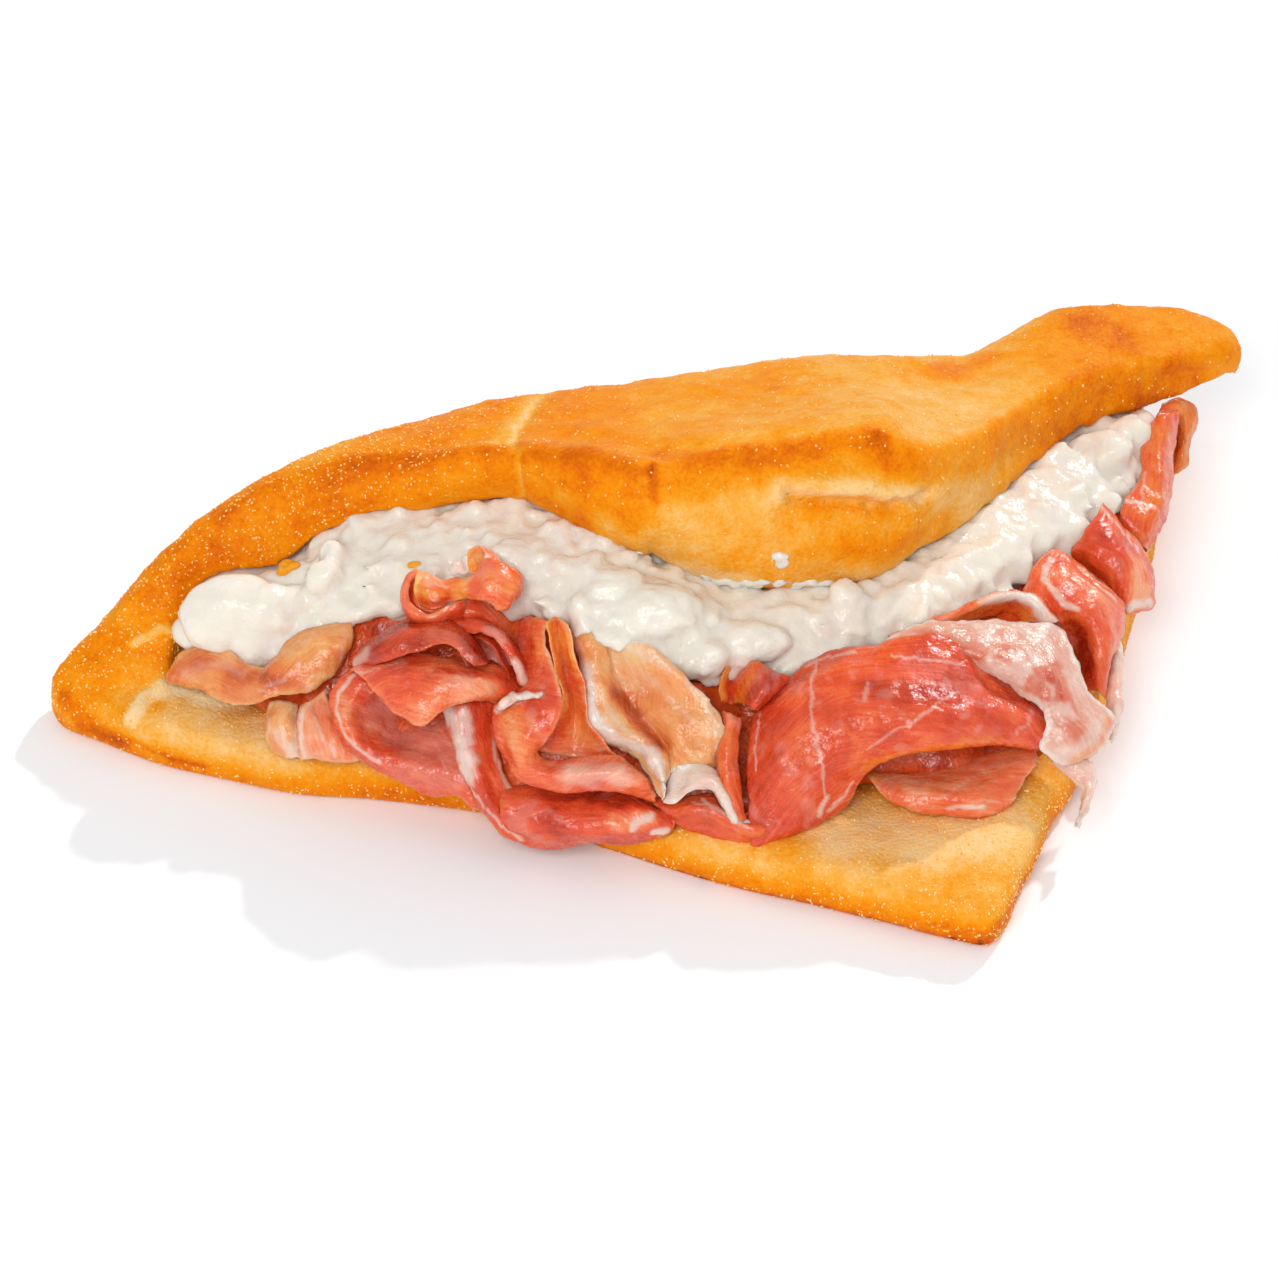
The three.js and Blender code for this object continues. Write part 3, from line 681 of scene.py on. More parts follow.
RIM_BAKE, BULGE_BAKE, PALE_BULGE, TONGUE_BAKE = 0.66, 0.60, 0.38, 0.62
TOP_LEFT_BAKE, TOP_BAKE = 0.62, 0.50
LEAF_BAKE, BACK_BAKE, LEAF_EDGE_BAKE, SOLE_BAKE = 0.43, 0.57, 0.66, 0.60
# How much paler or browner a stretch is than the rest of its surface
RIM_FOOT_PALER, TOP_MIDDLE_PALER, TOP_RIGHT_BROWNER, LEAF_LEFT_BROWNER = 0.12, 0.08, 0.16, 0.08
LEAF_DUST, LEAF_RIGHT_DUST, TOP_DUST, TOP_LEFT_MORE = 0.55, 0.95, 0.14, 0.8


def bake_of(points, normals):
    """How much the crust is browned at each point, with its painted shade and painted light."""
    x, y, z = points.T
    foot, ridge, shoulder = along(FOOT, x), along(RIDGE, x), along(SHOULDER, x)
    upper = step(-4, 1, z - foot[:, 1])
    back = step(-6, -1, y - shoulder[:, 0])
    face = upper * step(5, -1, y - ridge[:, 0])
    below = ridge[:, 1] - z
    bulge = step(-3, 6, x) * step(100, 78, x)
    rim = mix(RIM_BAKE, mix(PALE_BULGE, BULGE_BAKE, step(10, 4, below)), bulge)
    rim = mix(rim, TONGUE_BAKE, step(80, 115, x))
    rim = rim - RIM_FOOT_PALER * step(6, -2, z - foot[:, 1]) * step(60, 0, x)
    top = mix(TOP_LEFT_BAKE, TOP_BAKE, step(-30, 20, x))
    top = top - TOP_MIDDLE_PALER * step(20, 50, x) + TOP_RIGHT_BROWNER * step(85, 120, x)
    lower = mix(mix(LEAF_BAKE, BACK_BAKE, back), LEAF_EDGE_BAKE, step(11, 4, z))
    lower = lower + LEAF_LEFT_BROWNER * step(-100, -135, x)
    browning_and_shade = mix(mix(lower, mix(top, rim, face), upper), SOLE_BAKE, step(2.2, 0.2, z))
    browning_and_shade = browning_and_shade + marks(points, normals, BAKE_AND_SHADE_MARKS) + layers(points, BAKE_CLOUDS, 3, 10)
    return np.clip(browning_and_shade, 0, 1)


def dusting_of(points, normals):
    """How thickly semolina lies at each point: most on the left and on the lower leaf."""
    x, y, z = points.T
    foot, shoulder = along(FOOT, x), along(SHOULDER, x)
    upper = step(-3, 1, z - foot[:, 1])
    left = step(-10, -80, x)
    back = step(-6, -1, y - shoulder[:, 0])
    dust = mix(mix(LEAF_DUST, LEAF_RIGHT_DUST, step(40, 90, x)), TOP_DUST + TOP_LEFT_MORE * left,
               np.maximum(upper, back))
    hidden = step(2, 6, y - foot[:, 0]) * (1 - upper) * (1 - back)
    inner = step(-2, -8, y - shoulder[:, 0]) * step(0.1, -0.3, normals[:, 2]) * step(6, 12, z)
    return dust * (1 - hidden) * (1 - inner) * step(0.6, 1.6, z)


def brush_bread(obj):
    """Stores how browned the crust is, with its painted shade and light, and how dusty it is."""
    points, normals, _ = skin(obj)
    browning_and_shade = bake_of(points, normals)
    paint(obj, "bake_and_shade", browning_and_shade)
    paint(obj, "dusting", dusting_of(points, normals))
    return browning_and_shade


browning_and_shade = brush_bread(bread)
print("crust from", browning_and_shade.min().round(2), "to", browning_and_shade.max().round(2), "mean", browning_and_shade.mean().round(2))

# %% [markdown]
# Baked dough is matt with a faint oily sheen, and a little light travels through it. The colour
# comes from the browning with its painted shade and light, broken up by mottling a few
# millimetres wide and by fine pores.

# %% Crust
CRUST_STOPS = [(0.0, "#F0D6A4"), (0.2, "#F6C884"), (0.38, "#F2AE48"), (0.5, "#F29A18"),
               (0.62, "#F08900"), (0.74, "#E27000"), (0.86, "#C85804"), (1.0, "#4A220A")]
MOTTLE_MM, MOTTLE_SHARE = 5.0, 0.34
PORE_MM, PORE_SHARE = 0.9, 0.3


def baked_crust():
    """Wheat crust baked in a hot oven: matt golden skin, browner where it stood out."""
    material, tree, shader, place = new_material("baked_wheat_crust")
    bake_and_shade = add(tree, "ShaderNodeAttribute", attribute_name="bake_and_shade").outputs["Fac"]
    mottle = add(tree, "ShaderNodeTexNoise",
                 {"Vector": place, "Scale": 1 / (MOTTLE_MM * MM), "Detail": 5.0, "Roughness": 0.65})
    pores = add(tree, "ShaderNodeTexNoise", {"Vector": place, "Scale": 1 / (PORE_MM * MM), "Detail": 3.0})
    wide, fine = (add(tree, "ShaderNodeMath", {0: pattern, 1: share, 2: -share / 2},
                      operation="MULTIPLY_ADD")
                  for pattern, share in ((mottle, MOTTLE_SHARE), (pores, PORE_SHARE)))
    both = add(tree, "ShaderNodeMath", {0: wide, 1: fine})
    browning_and_shade = add(tree, "ShaderNodeMath", {0: bake_and_shade, 1: both})
    height = add(tree, "ShaderNodeMath", {0: mottle, 1: 0.6, 2: pores}, operation="MULTIPLY_ADD")
    feed(tree, shader, {
        "Base Color": set_stops(add(tree, "ShaderNodeValToRGB", {"Fac": browning_and_shade}), CRUST_STOPS),
        "Normal": add(tree, "ShaderNodeBump", {"Height": height, "Strength": 0.7, "Distance": 0.6 * MM}),
        "Roughness": add(tree, "ShaderNodeMapRange", {"Value": pores, "To Min": 0.3, "To Max": 0.6}),
        "Subsurface Weight": 0.08, "Subsurface Radius": (1.0, 0.45, 0.15),
        "Subsurface Scale": 1.6 * MM, "Specular IOR Level": 0.06,
    })
    return material


CRUST = baked_crust()
dress(bread, CRUST)
print("crust material:", CRUST.name)

# %% [markdown]
# Semolina keeps the dough from sticking to the peel, and its grains stay on the crust. Geometry
# Nodes scatter them: points by the stored dusting, a small angular ball on each, turned and
# sized at random, and all of them made real at the end.

# %% Semolina
DUSTING = {"Grains per m2": 340000.0, "Grain size": 0.4 * MM, "Seed": 4}
GRAIN_SHAPES = ((0.45, 0.45, 0.35), (1.3, 1.0, 0.8))
GRAIN_TURNS = ((0, 0, 0), (6.28, 6.28, 6.28))
TOAST_MM = 1.5
SEMOLINA_STOPS = [(0.3, "#F0A838"), (0.5, "#F7C866"), (0.7, "#FDE4A8")]


def scatter_tree(name, material):
    """Geometry Nodes that lay grains of a material on a skin."""
    tree = bpy.data.node_groups.new(name, "GeometryNodeTree")
    for label, kind in (("Skin", "Geometry"), ("Grains per m2", "Float"), ("Grain size", "Float"),
                        ("Seed", "Int")):
        tree.interface.new_socket(label, in_out="INPUT", socket_type="NodeSocket" + kind)
    tree.interface.new_socket("Grains", in_out="OUTPUT", socket_type="NodeSocketGeometry")
    given = add(tree, "NodeGroupInput").outputs
    dusting = add(tree, "GeometryNodeInputNamedAttribute", {"Name": "dusting"}, data_type="FLOAT")
    dense = add(tree, "ShaderNodeMath", {0: dusting, 1: given["Grains per m2"]}, operation="MULTIPLY")
    spots = add(tree, "GeometryNodeDistributePointsOnFaces",
                {"Mesh": given["Skin"], "Density": dense, "Seed": given["Seed"]})
    ball = add(tree, "GeometryNodeMeshIcoSphere", {"Radius": given["Grain size"], "Subdivisions": 1})
    size, turn = (add(tree, "FunctionNodeRandomValue", {"Min": least, "Max": most, "Seed": given["Seed"]},
                      data_type="FLOAT_VECTOR") for least, most in (GRAIN_SHAPES, GRAIN_TURNS))
    grains = add(tree, "GeometryNodeInstanceOnPoints",
                 {"Points": spots, "Instance": ball, "Scale": size, "Rotation": turn})
    real = add(tree, "GeometryNodeRealizeInstances", {"Geometry": grains})
    finish = add(tree, "GeometryNodeSetMaterial", {"Geometry": real, "Material": material})
    add(tree, "NodeGroupOutput", {"Grains": finish})
    return tree


def scattered(name, carrier, tree, values):
    """Piece made by scattering over a copy of the carrier's skin."""
    obj = in_scene(bpy.data.objects.new(name, carrier.data.copy()))
    nodes = obj.modifiers.new("Scatter", "NODES")
    nodes.node_group = tree
    for socket in tree.interface.items_tree:
        if socket.in_out == "INPUT" and socket.name in values:
            nodes[socket.identifier] = values[socket.name]
    return applied(obj)


def semolina_grain():
    """Coarse semolina: hard pale yellow grains that catch the light."""
    material, tree, shader, place = new_material("toasted_semolina")
    patch = add(tree, "ShaderNodeTexNoise", {"Vector": place, "Scale": 1 / (TOAST_MM * MM)})
    ramp = set_stops(add(tree, "ShaderNodeValToRGB", {"Fac": patch}), SEMOLINA_STOPS)
    feed(tree, shader, {"Base Color": ramp, "Roughness": 0.35})
    return material


semolina = scattered("semolina", bread, scatter_tree("scatter_semolina", semolina_grain()), DUSTING)
print("semolina:", len(semolina.data.polygons), "faces")
for piece in (bread, semolina):
    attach(piece, "root")
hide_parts("bread")

# %% [markdown]
# The cheese and the folded ham in front of its foot follow guides too: where the cheese is
# fullest and where ham covers it, then where the heap of ham is fullest and where it stands.

# %% Guides of the filling
FILLING_FLOOR = 14.4
CHEESE_FULL = [
    [-109, 2, 25], [-97, -4, 34], [-87, -6, 37], [-77, -3, 42], [-63, -4, 47], [-49, -3, 51],
    [-37, -3, 54], [-29, -10, 54], [-11, -19, 55], [1, -25, 52], [8, -27, 49], [16, -24, 46],
    [27, -19, 44], [36, -20, 43], [48, -17, 43], [60, -12, 43], [70, -6, 42], [80, 4, 42],
    [90, 19, 41], [101, 33, 38], [109, 47, 37], [118, 60, 35], [126, 70, 34],
]
CHEESE_LOW = [
    [-109, -4, 19], [-96, -12, 29], [-87, -17, 29], [-77, -12, 35], [-63, -13, 42], [-49, -14, 45],
    [-37, -15, 46], [-29, -18, 47], [-20, -24, 48], [-11, -32, 49], [1, -34, 46], [13, -34, 39],
    [22, -29, 38], [36, -28, 37], [48, -22, 37], [60, -18, 36], [70, -13, 36], [80, -4, 36], [90, 8, 35],
    [101, 23, 33], [109, 37, 32], [118, 51, 30], [126, 63, 29],
]
HEAP_FULL = [
    [-106, -6, 18], [-96, -14, 20], [-86, -20, 23], [-77, -23, 26], [-63, -27, 28], [-49, -31, 30],
    [-34, -34, 36], [-18, -37, 37], [1, -42, 34], [22, -44, 28], [40, -42, 30], [55, -37, 32],
    [70, -36, 30], [84, -31, 27], [93, -21, 26], [101, -3, 25], [108, 14, 25], [118, 42, 25],
    [127, 67, 26],
]
HEAP_BASE = [
    [-106, -8], [-96, -15], [-86, -24], [-77, -30], [-63, -37], [-49, -43], [-34, -49], [-18, -52],
    [1, -56], [22, -57], [40, -53], [55, -45], [70, -46], [84, -42], [93, -34], [101, -18], [108, 2],
    [118, 35], [127, 64],
]
print("the cheese shows from", CHEESE_FULL[0][0], "to", CHEESE_FULL[-1][0], "mm")

# %% [markdown]
# Fresh stringy cheese is soft lumps of curd held in cream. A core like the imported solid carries
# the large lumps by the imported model's own rule, then hundreds of smaller ones and short strings.
# Melted into one skin they flow together, as cream makes them do.

# %% Cheese
GOLDEN = math.pi * (3 - math.sqrt(5))
CURD_SEED = 12
CURD_COUNT = 1300
STRING_COUNT = 46
CREAMY_FROM = 84
PACKED_LUMPS, FIRST_LUMP, LUMP_STEP = 15, -102, 15.2
CURD_SPAN, STRING_SPAN = (-80, 123), (-80, 118)
# Larger lumps, each with its centre, its radii and its turns
BLOBS = [
    ((-98, -6, 34.5), (13, 8, 9.5), (0.1, 0.15, 0)), ((-102, -9, 32.5), (8, 6, 7.5), (0, -0.5, 0)),
    ((-90, -8, 34), (9.5, 7, 9.5), (0, 0.5, 0)), ((-93, -11, 28), (5.5, 5, 7.5), (0, 0.3, 0)),
    ((-84, -7, 36), (6, 5, 6), (0, 0.3, 0)), ((-83, -8, 29), (6, 5, 5.5), (0, 0.2, 0)),
    ((-76, -6, 44), (5, 4, 5), (0, 0.3, 0)), ((-89, 1.5, 35.5), (6.5, 5, 4.3), (0, 0.3, 0)),
    ((-83, 2, 38.5), (5, 4.5, 4), (0, 0.4, 0)), ((115, 57, 37), (6, 6, 4), (0, 0, 0)),
    ((121, 66, 36), (5.5, 5, 3.6), (0, 0, 0)), ((124, 71, 34.5), (4, 4, 3), (0, 0, 0)),
    ((2, -26, 48), (12, 8, 8.5), (0.3, 0.25, 0)), ((-8, -21, 50.5), (9, 6, 7), (0.2, 0.3, 0)),
    ((22, -28, 41.5), (12, 6, 5.5), (0.3, 0.1, 0)), ((13, -33, 41), (7, 5, 5), (0, 0.4, 0)),
]
# Radii of the small lumps in mm, each with how likely it is
CURD_SIZES = {1.2: 0.4, 1.8: 0.35, 2.6: 0.17, 3.6: 0.08}
CHEESE_SPAN = (-108, 126)
CHEESE_STATIONS = 170
CHEESE_AROUND = 90
CHEESE_VOXEL = 0.88
CURDLED_SMOOTHING, CREAMY_SMOOTHING = 2, 7
HOLLOW_SMOOTHING, CREASE_SMOOTHING = 12, 3
CURDLE = [(5.0, 1.2), (2.4, 0.38)]
SWELLS = [(7, 0.5)]
CHEESE_PATCH_MM = 9
RIPPLE_MM = 1.1
# Colours of the cheese, darker and yellower into its creases as painted shade
CHEESE_AND_SHADE_STOPS = [(0.0, "#EAE3D7"), (0.35, "#EFEAD8"), (0.65, "#E8DBB0"), (1.0, "#DABF7C")]


def ball(rings=11, around=16):
    """Points and faces of a ball of radius 1."""
    lift = np.linspace(-0.97, 0.97, rings)
    turn = np.arange(around) / around * 2 * math.pi
    wide = np.sqrt(1 - lift ** 2)
    circle = np.stack([np.outer(wide, np.cos(turn)), np.outer(wide, np.sin(turn)),
                       np.repeat(lift[:, None], around, axis=1)], axis=2)
    return loft(circle)


def turned(points, angles):
    """Points turned about x, then y, then z."""
    for axis, angle in enumerate(angles):
        a, b = [i for i in range(3) if i != axis]
        c, s = math.cos(angle), math.sin(angle)
        u, v = points[:, a], points[:, b]
        points = points.copy()
        points[:, a], points[:, b] = u * c - v * s, u * s + v * c
    return points


def lump(centre, radii, angles):
    """Ball stretched to three radii, turned and moved to its centre."""
    points, faces = ball()
    return turned(points * radii, angles) + np.asarray(centre, float), faces


def cheese_core():
    """Closed skin of the whole mass, from the wall of bread at the back to the ham."""
    x = spread(*CHEESE_SPAN, CHEESE_STATIONS)
    (foot_y, foot_z), (_, ridge_z), (back_y, back_z), full, (low_y, low_z), (base_y,) = (
        along(guide, x).T for guide in (FOOT, RIDGE, SHOULDER, CHEESE_FULL, CHEESE_LOW, HEAP_BASE))
    wall = back_y - LEAF - 1.5
    level = np.full_like(x, FILLING_FLOOR)
    return loft(sections(x, [
        (wall, level), (wall, back_z - LEAF - 6),
        (0.5 * (foot_y + back_y), 0.5 * (ridge_z + back_z) - LEAF - 2), (foot_y + 9, foot_z - 1),
        (foot_y - 1, foot_z - 1.5), full, (low_y, low_z), (low_y + 6, low_z - 6), (base_y + 18, level),
    ], CHEESE_AROUND))


def on_cheese(x, drop):
    """Place on the cheese that shows: drop is -1 under the rim, 0 at its fullest and 1 at the ham."""
    foot, full, low = along(FOOT, x)[0] + [2, -1], along(CHEESE_FULL, x)[0], along(CHEESE_LOW, x)[0]
    return np.array([x, *(mix(full, foot, -drop) if drop < 0 else mix(full, low, drop))])


def curds():
    """Lumps of curd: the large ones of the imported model, then small ones and strings."""
    draw = np.random.default_rng(CURD_SEED)
    lumps = []
    for i in range(PACKED_LUMPS):
        x = FIRST_LUMP + LUMP_STEP * i + 3 * math.sin(5 * i)
        size = 5.5 + 1.5 * math.cos(i * GOLDEN)
        place = on_cheese(x, 0.45 + 0.5 * math.sin(i * GOLDEN)) + [0, 2.6, -2.6]
        lumps.append(lump(place, (1.7 * size, size, 0.8 * size), (0, i * GOLDEN, 0)))
    for _ in range(CURD_COUNT):
        x = draw.uniform(*CURD_SPAN)
        size = draw.choice(list(CURD_SIZES), p=list(CURD_SIZES.values())) * draw.uniform(0.8, 1.2)
        if x > CREAMY_FROM and size < 2:
            continue
        place = on_cheese(x, draw.uniform(-1.1, 1.3)) + [0, 0.35 * size, -0.35 * size + 0.6]
        lumps.append(lump(place, (size * draw.uniform(1, 1.9), size, size * draw.uniform(0.6, 1)),
                          draw.uniform(-0.8, 0.8, 3)))
    for _ in range(STRING_COUNT):
        x = draw.uniform(*STRING_SPAN)
        place = on_cheese(x, draw.uniform(0, 1)) + [0, -0.6, 0.6]
        lumps.append(lump(place, (draw.uniform(4, 9), 0.9, 0.9), draw.uniform(-0.5, 0.5, 3)))
    return lumps


def make_cheese():
    """Core, curds and blobs as one skin: curdled at the left and creamy at the right."""
    shells = [cheese_core(), *curds(), *[lump(*blob) for blob in BLOBS]]
    obj = melted(mesh_object("fresh_cheese", *joined(shells)), CHEESE_VOXEL)
    points, normals, edges = skin(obj)
    creamy = step(CREAMY_FROM - 24, CREAMY_FROM + 6, points[:, :1])
    points = mix(relaxed(points, edges, CURDLED_SMOOTHING), relaxed(points, edges, CREAMY_SMOOTHING),
                 creamy)
    curdled = step(-94, -80, points[:, 0]) * (1 - 0.6 * step(50, 95, points[:, 0]))
    lift = layers(points, SWELLS, 2, 3)
    for seed, (lump_mm, size) in enumerate(CURDLE):
        lift = lift + size * (np.abs(clouds(points, lump_mm, 1, 4 + seed)) - 0.25) * (0.3 + 0.7 * curdled)
    reshape(obj, points + normals * lift[:, None])
    points, normals, edges = skin(obj)
    # How deep each point lies in a crease, stored for the painted shade of the creases
    hollow = ((relaxed(points, edges, HOLLOW_SMOOTHING) - points) * normals).sum(axis=1)
    paint(obj, "crease_shade", step(0.15, 1.6, relaxed(hollow, edges, CREASE_SMOOTHING)[:, 0]))
    return obj


def fresh_cheese():
    """Cream and soft curd: white, wet, and lit from within, with painted shade, darker and yellower, in
    its creases.
    """
    material, tree, shader, place = new_material("fresh_stringy_cheese")
    crease_shade = add(tree, "ShaderNodeAttribute", attribute_name="crease_shade").outputs["Fac"]
    patch, ripple = (
        add(tree, "ShaderNodeTexNoise", {"Vector": place, "Scale": 1 / (mm * MM), "Detail": 3.0})
        for mm in (CHEESE_PATCH_MM, RIPPLE_MM))
    share = add(tree, "ShaderNodeMath", {0: patch, 1: 0.5, 2: -0.2}, operation="MULTIPLY_ADD")
    deep = add(tree, "ShaderNodeMath", {0: crease_shade, 1: share})
    feed(tree, shader, {
        "Base Color": set_stops(add(tree, "ShaderNodeValToRGB", {"Fac": deep}), CHEESE_AND_SHADE_STOPS),
        "Normal": add(tree, "ShaderNodeBump", {"Height": ripple, "Strength": 0.5, "Distance": 0.45 * MM}),
        "Roughness": 0.13, "IOR": 1.4, "Subsurface Weight": 0.6,
        "Subsurface Radius": (1.0, 0.85, 0.55), "Subsurface Scale": 2.5 * MM,
    })
    return material


cheese = make_cheese()
dress(cheese, fresh_cheese())
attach(cheese, "root")
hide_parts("cheese")
print("cheese skin:", len(cheese.data.polygons), "faces")

# %% [markdown]
# A little cheese clings to the bread: a ragged film along the lower edge of the bulge and one drip
# on its face. Two crumbs of crust lie in the cheese. Each is a few small lumps, given by a pixel
# and a radius in mm, melted together on the skin that the pixel shows.

# %% Smears, drip and crumbs
SMEAR = [(590, 542), (625, 553), (665, 572), (700, 582), (740, 587), (800, 588), (850, 587)]
SMEAR_LUMPS = 110
SMEAR_SEED = 110
SMEAR_SIZES = [0.5, 0.8, 1.2]
DRIP = [((781, 560), 1.5), ((782, 564), 1.3), ((780, 569), 0.9)]
CRUMBS = [((287, 562), 1.7), ((284, 568), 1.5), ((290, 566), 1.2), ((413, 562), 1.2), ((410, 565), 0.8)]
CRUMB_BAKE = 0.46
CLINGING_VOXEL = 0.42
CLINGING_SMOOTHING = 3
CLINGING_WAVES = [(1.6, 0.2)]


def clinging(name, carrier, spots, flat):
    """Lumps of given pixels and radii, sitting on the carrier's skin as one small piece."""
    points, normals, _ = skin(carrier)
    lumps = []
    for i, (where, radius) in enumerate(spots):
        place = laid_on(points, normals, [where, where])[0]
        tilt = (0.5 * math.sin(2 * i), 0.3 * math.sin(i), 0)
        lumps.append(lump(place, (1.6 * radius, flat * radius, radius), tilt))
    obj = melted(mesh_object(name, *joined(lumps)), CLINGING_VOXEL)
    points, normals, edges = skin(obj)
    points = relaxed(points, edges, CLINGING_SMOOTHING)
    reshape(obj, points + normals * layers(points, CLINGING_WAVES, 2, 3)[:, None])
    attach(obj, "root")
    return obj


def film_spots():
    """Many small lumps along the lower edge of the bulge."""
    draw = np.random.default_rng(SMEAR_SEED)
    line = smooth_line(SMEAR, SMEAR_LUMPS)
    return [(tuple(spot + draw.uniform(-4, 4, 2)), draw.choice(SMEAR_SIZES)) for spot in line]


smear = clinging("cheese_on_the_rim", bread, film_spots() + DRIP, 0.6)
dress(smear, cheese.data.materials[0])
crumbs = clinging("crust_crumbs", cheese, CRUMBS, 0.9)
paint(crumbs, "bake_and_shade", np.full(len(crumbs.data.vertices), CRUMB_BAKE))
dress(crumbs, CRUST)
print("smear and crumbs:", len(smear.data.polygons), "and", len(crumbs.data.polygons), "faces")

# %% [markdown]
# Cured ham is lean meat with seams of fat. The lean runs from deep red to coral, and fine fibres
# run along the slice. Fat is nearly white. One function builds the three finishes from numbers
# stored at each point: tone for how light the lean is, with painted shade and light, fat for how
# much of it is fat, with a few painted highlights, painted_glow for painted light that comes
# through and turns it orange, and dry for a cut face that has lost its gloss.

# %% Cured ham
LEAN_STOPS = [(0.0, "#8E1C08"), (0.25, "#BC3816"), (0.5, "#DE4E28"), (0.75, "#EE7442"),
              (1.0, "#F4A67C")]
TAN_STOPS = [(0.0, "#A8441E"), (0.3, "#DA7238"), (0.6, "#EE9E5E"), (1.0, "#F6CC98")]
# Colours of the painted glow where light comes through a slice
GLOW_STOPS = [(0.15, "#A82806"), (0.45, "#E4601A"), (0.75, "#F08E34"), (1.0, "#F6AE5C")]
PALE_STOPS = [(0.0, "#C44E34"), (0.35, "#D8846A"), (0.65, "#E0AE9A"), (1.0, "#E8D0C0")]
FAT_STOPS = [(0.25, "#DEB8A8"), (0.6, "#ECD6CA"), (0.8, "#F2E6DE")]
FIBRE_MM = (9.0, 0.8, 0.8)
CLOUD_MM = 7
GLISTEN_MM = 1.0
FIBRE_SHARE, CLOUD_SHARE = 0.56, 0.62
COAT = 0.18
DRY_ROUGH = 0.55


def cured_ham(name, stops, through):
    """Thin slice of salted, air-dried ham: moist, translucent, with an oily gloss."""
    material, tree, shader, place = new_material(name)
    fat, tone, painted_glow, dry = (add(tree, "ShaderNodeAttribute", attribute_name=label).outputs["Fac"]
                            for label in ("fat", "tone", "painted_glow", "dry"))
    lie = add(tree, "ShaderNodeAttribute", attribute_name="lie").outputs["Vector"]
    stretched = add(tree, "ShaderNodeMapping", {"Vector": lie, "Scale": [1 / (s * MM) for s in FIBRE_MM]})
    fibre, cloud, glisten = (add(tree, "ShaderNodeTexNoise", settings) for settings in (
        {"Vector": stretched, "Scale": 1.0, "Detail": 4.0, "Distortion": 0.6},
        {"Vector": place, "Scale": 1 / (CLOUD_MM * MM), "Detail": 3.0, "Distortion": 0.5},
        {"Vector": place, "Scale": 1 / (GLISTEN_MM * MM), "Detail": 2.0}))
    fine, wide = (add(tree, "ShaderNodeMath", {0: pattern, 1: share, 2: -share / 2},
                      operation="MULTIPLY_ADD")
                  for pattern, share in ((fibre, FIBRE_SHARE), (cloud, CLOUD_SHARE)))
    both = add(tree, "ShaderNodeMath", {0: fine, 1: wide})
    toned = add(tree, "ShaderNodeMath", {0: tone, 1: both})
    lean, lit, white = (
        set_stops(add(tree, "ShaderNodeValToRGB", {"Fac": driver}), colours)
        for driver, colours in ((toned, stops), (toned, GLOW_STOPS), (cloud, FAT_STOPS)))
    flecks = add(tree, "ShaderNodeMapRange",
                 {"Value": fibre, "From Min": 0.62, "From Max": 0.8, "To Max": 0.22})
    fatty = add(tree, "ShaderNodeMath", {0: fat, 1: flecks}, operation="MAXIMUM")
    colour = lean
    for share, other in ((fatty, white), (painted_glow, lit)):
        mixed = add(tree, "ShaderNodeMix", {0: share, 6: colour, 7: other}, data_type="RGBA")
        colour = mixed.outputs[2]
    rise = add(tree, "ShaderNodeMath", {0: fibre, 1: 0.5, 2: glisten}, operation="MULTIPLY_ADD")
    bump = add(tree, "ShaderNodeBump", {"Height": rise, "Strength": 0.55, "Distance": 0.45 * MM})
    rough = add(tree, "ShaderNodeMapRange",
                {"Value": glisten, "From Min": 0.3, "From Max": 0.7, "To Min": 0.1, "To Max": 0.34})
    dull = add(tree, "ShaderNodeMath", {0: dry, 1: DRY_ROUGH}, operation="MULTIPLY")
    feed(tree, shader, {
        "Base Color": colour, "Normal": bump, "Coat Normal": bump, "Coat Roughness": 0.06,
        "Roughness": add(tree, "ShaderNodeMath", {0: rough, 1: dull}, operation="MAXIMUM"),
        "Coat Weight": add(tree, "ShaderNodeMath", {0: dry, 1: -COAT, 2: COAT}, operation="MULTIPLY_ADD"),
        "Subsurface Weight": 0.6, "Subsurface Radius": (1.0, 0.45, 0.3),
        "Subsurface Scale": through * MM, "Specular IOR Level": 0.45,
    })
    return material


HAM = {
    "ham": (cured_ham("cured_lean_ham", LEAN_STOPS, 1.6), "ham_lean"),
    "tan": (cured_ham("thin_dried_ham", TAN_STOPS, 2.4), "ham_tan"),
    "fat": (cured_ham("ham_back_fat", PALE_STOPS, 2.0), "ham_fat"),
}
print("finishes:", [material.name for material, _ in HAM.values()])

# %% [markdown]
# Behind the slices that show lies more of the same ham, folded, its lean set dark as painted shade
# and lit by an even painted glow. It is a loft on the guides of the heap, whose face stands out
# and falls back in wide pleats.

# %% Heap of folded ham
HEAP_SPAN = (-106, 127)
HEAP_STATIONS = 330
HEAP_AROUND = 72
PLEAT_SCALE = 4.6
PLEAT_DEPTH = 1.6
HEAP_WAVES = [(6, 0.8), (2.5, 0.35)]
# Painted glow, tone set dark as painted shade, and fat of the heap
HEAP_GLOW, HEAP_TONE, HEAP_FAT = 0.7, 0.36, 0.1


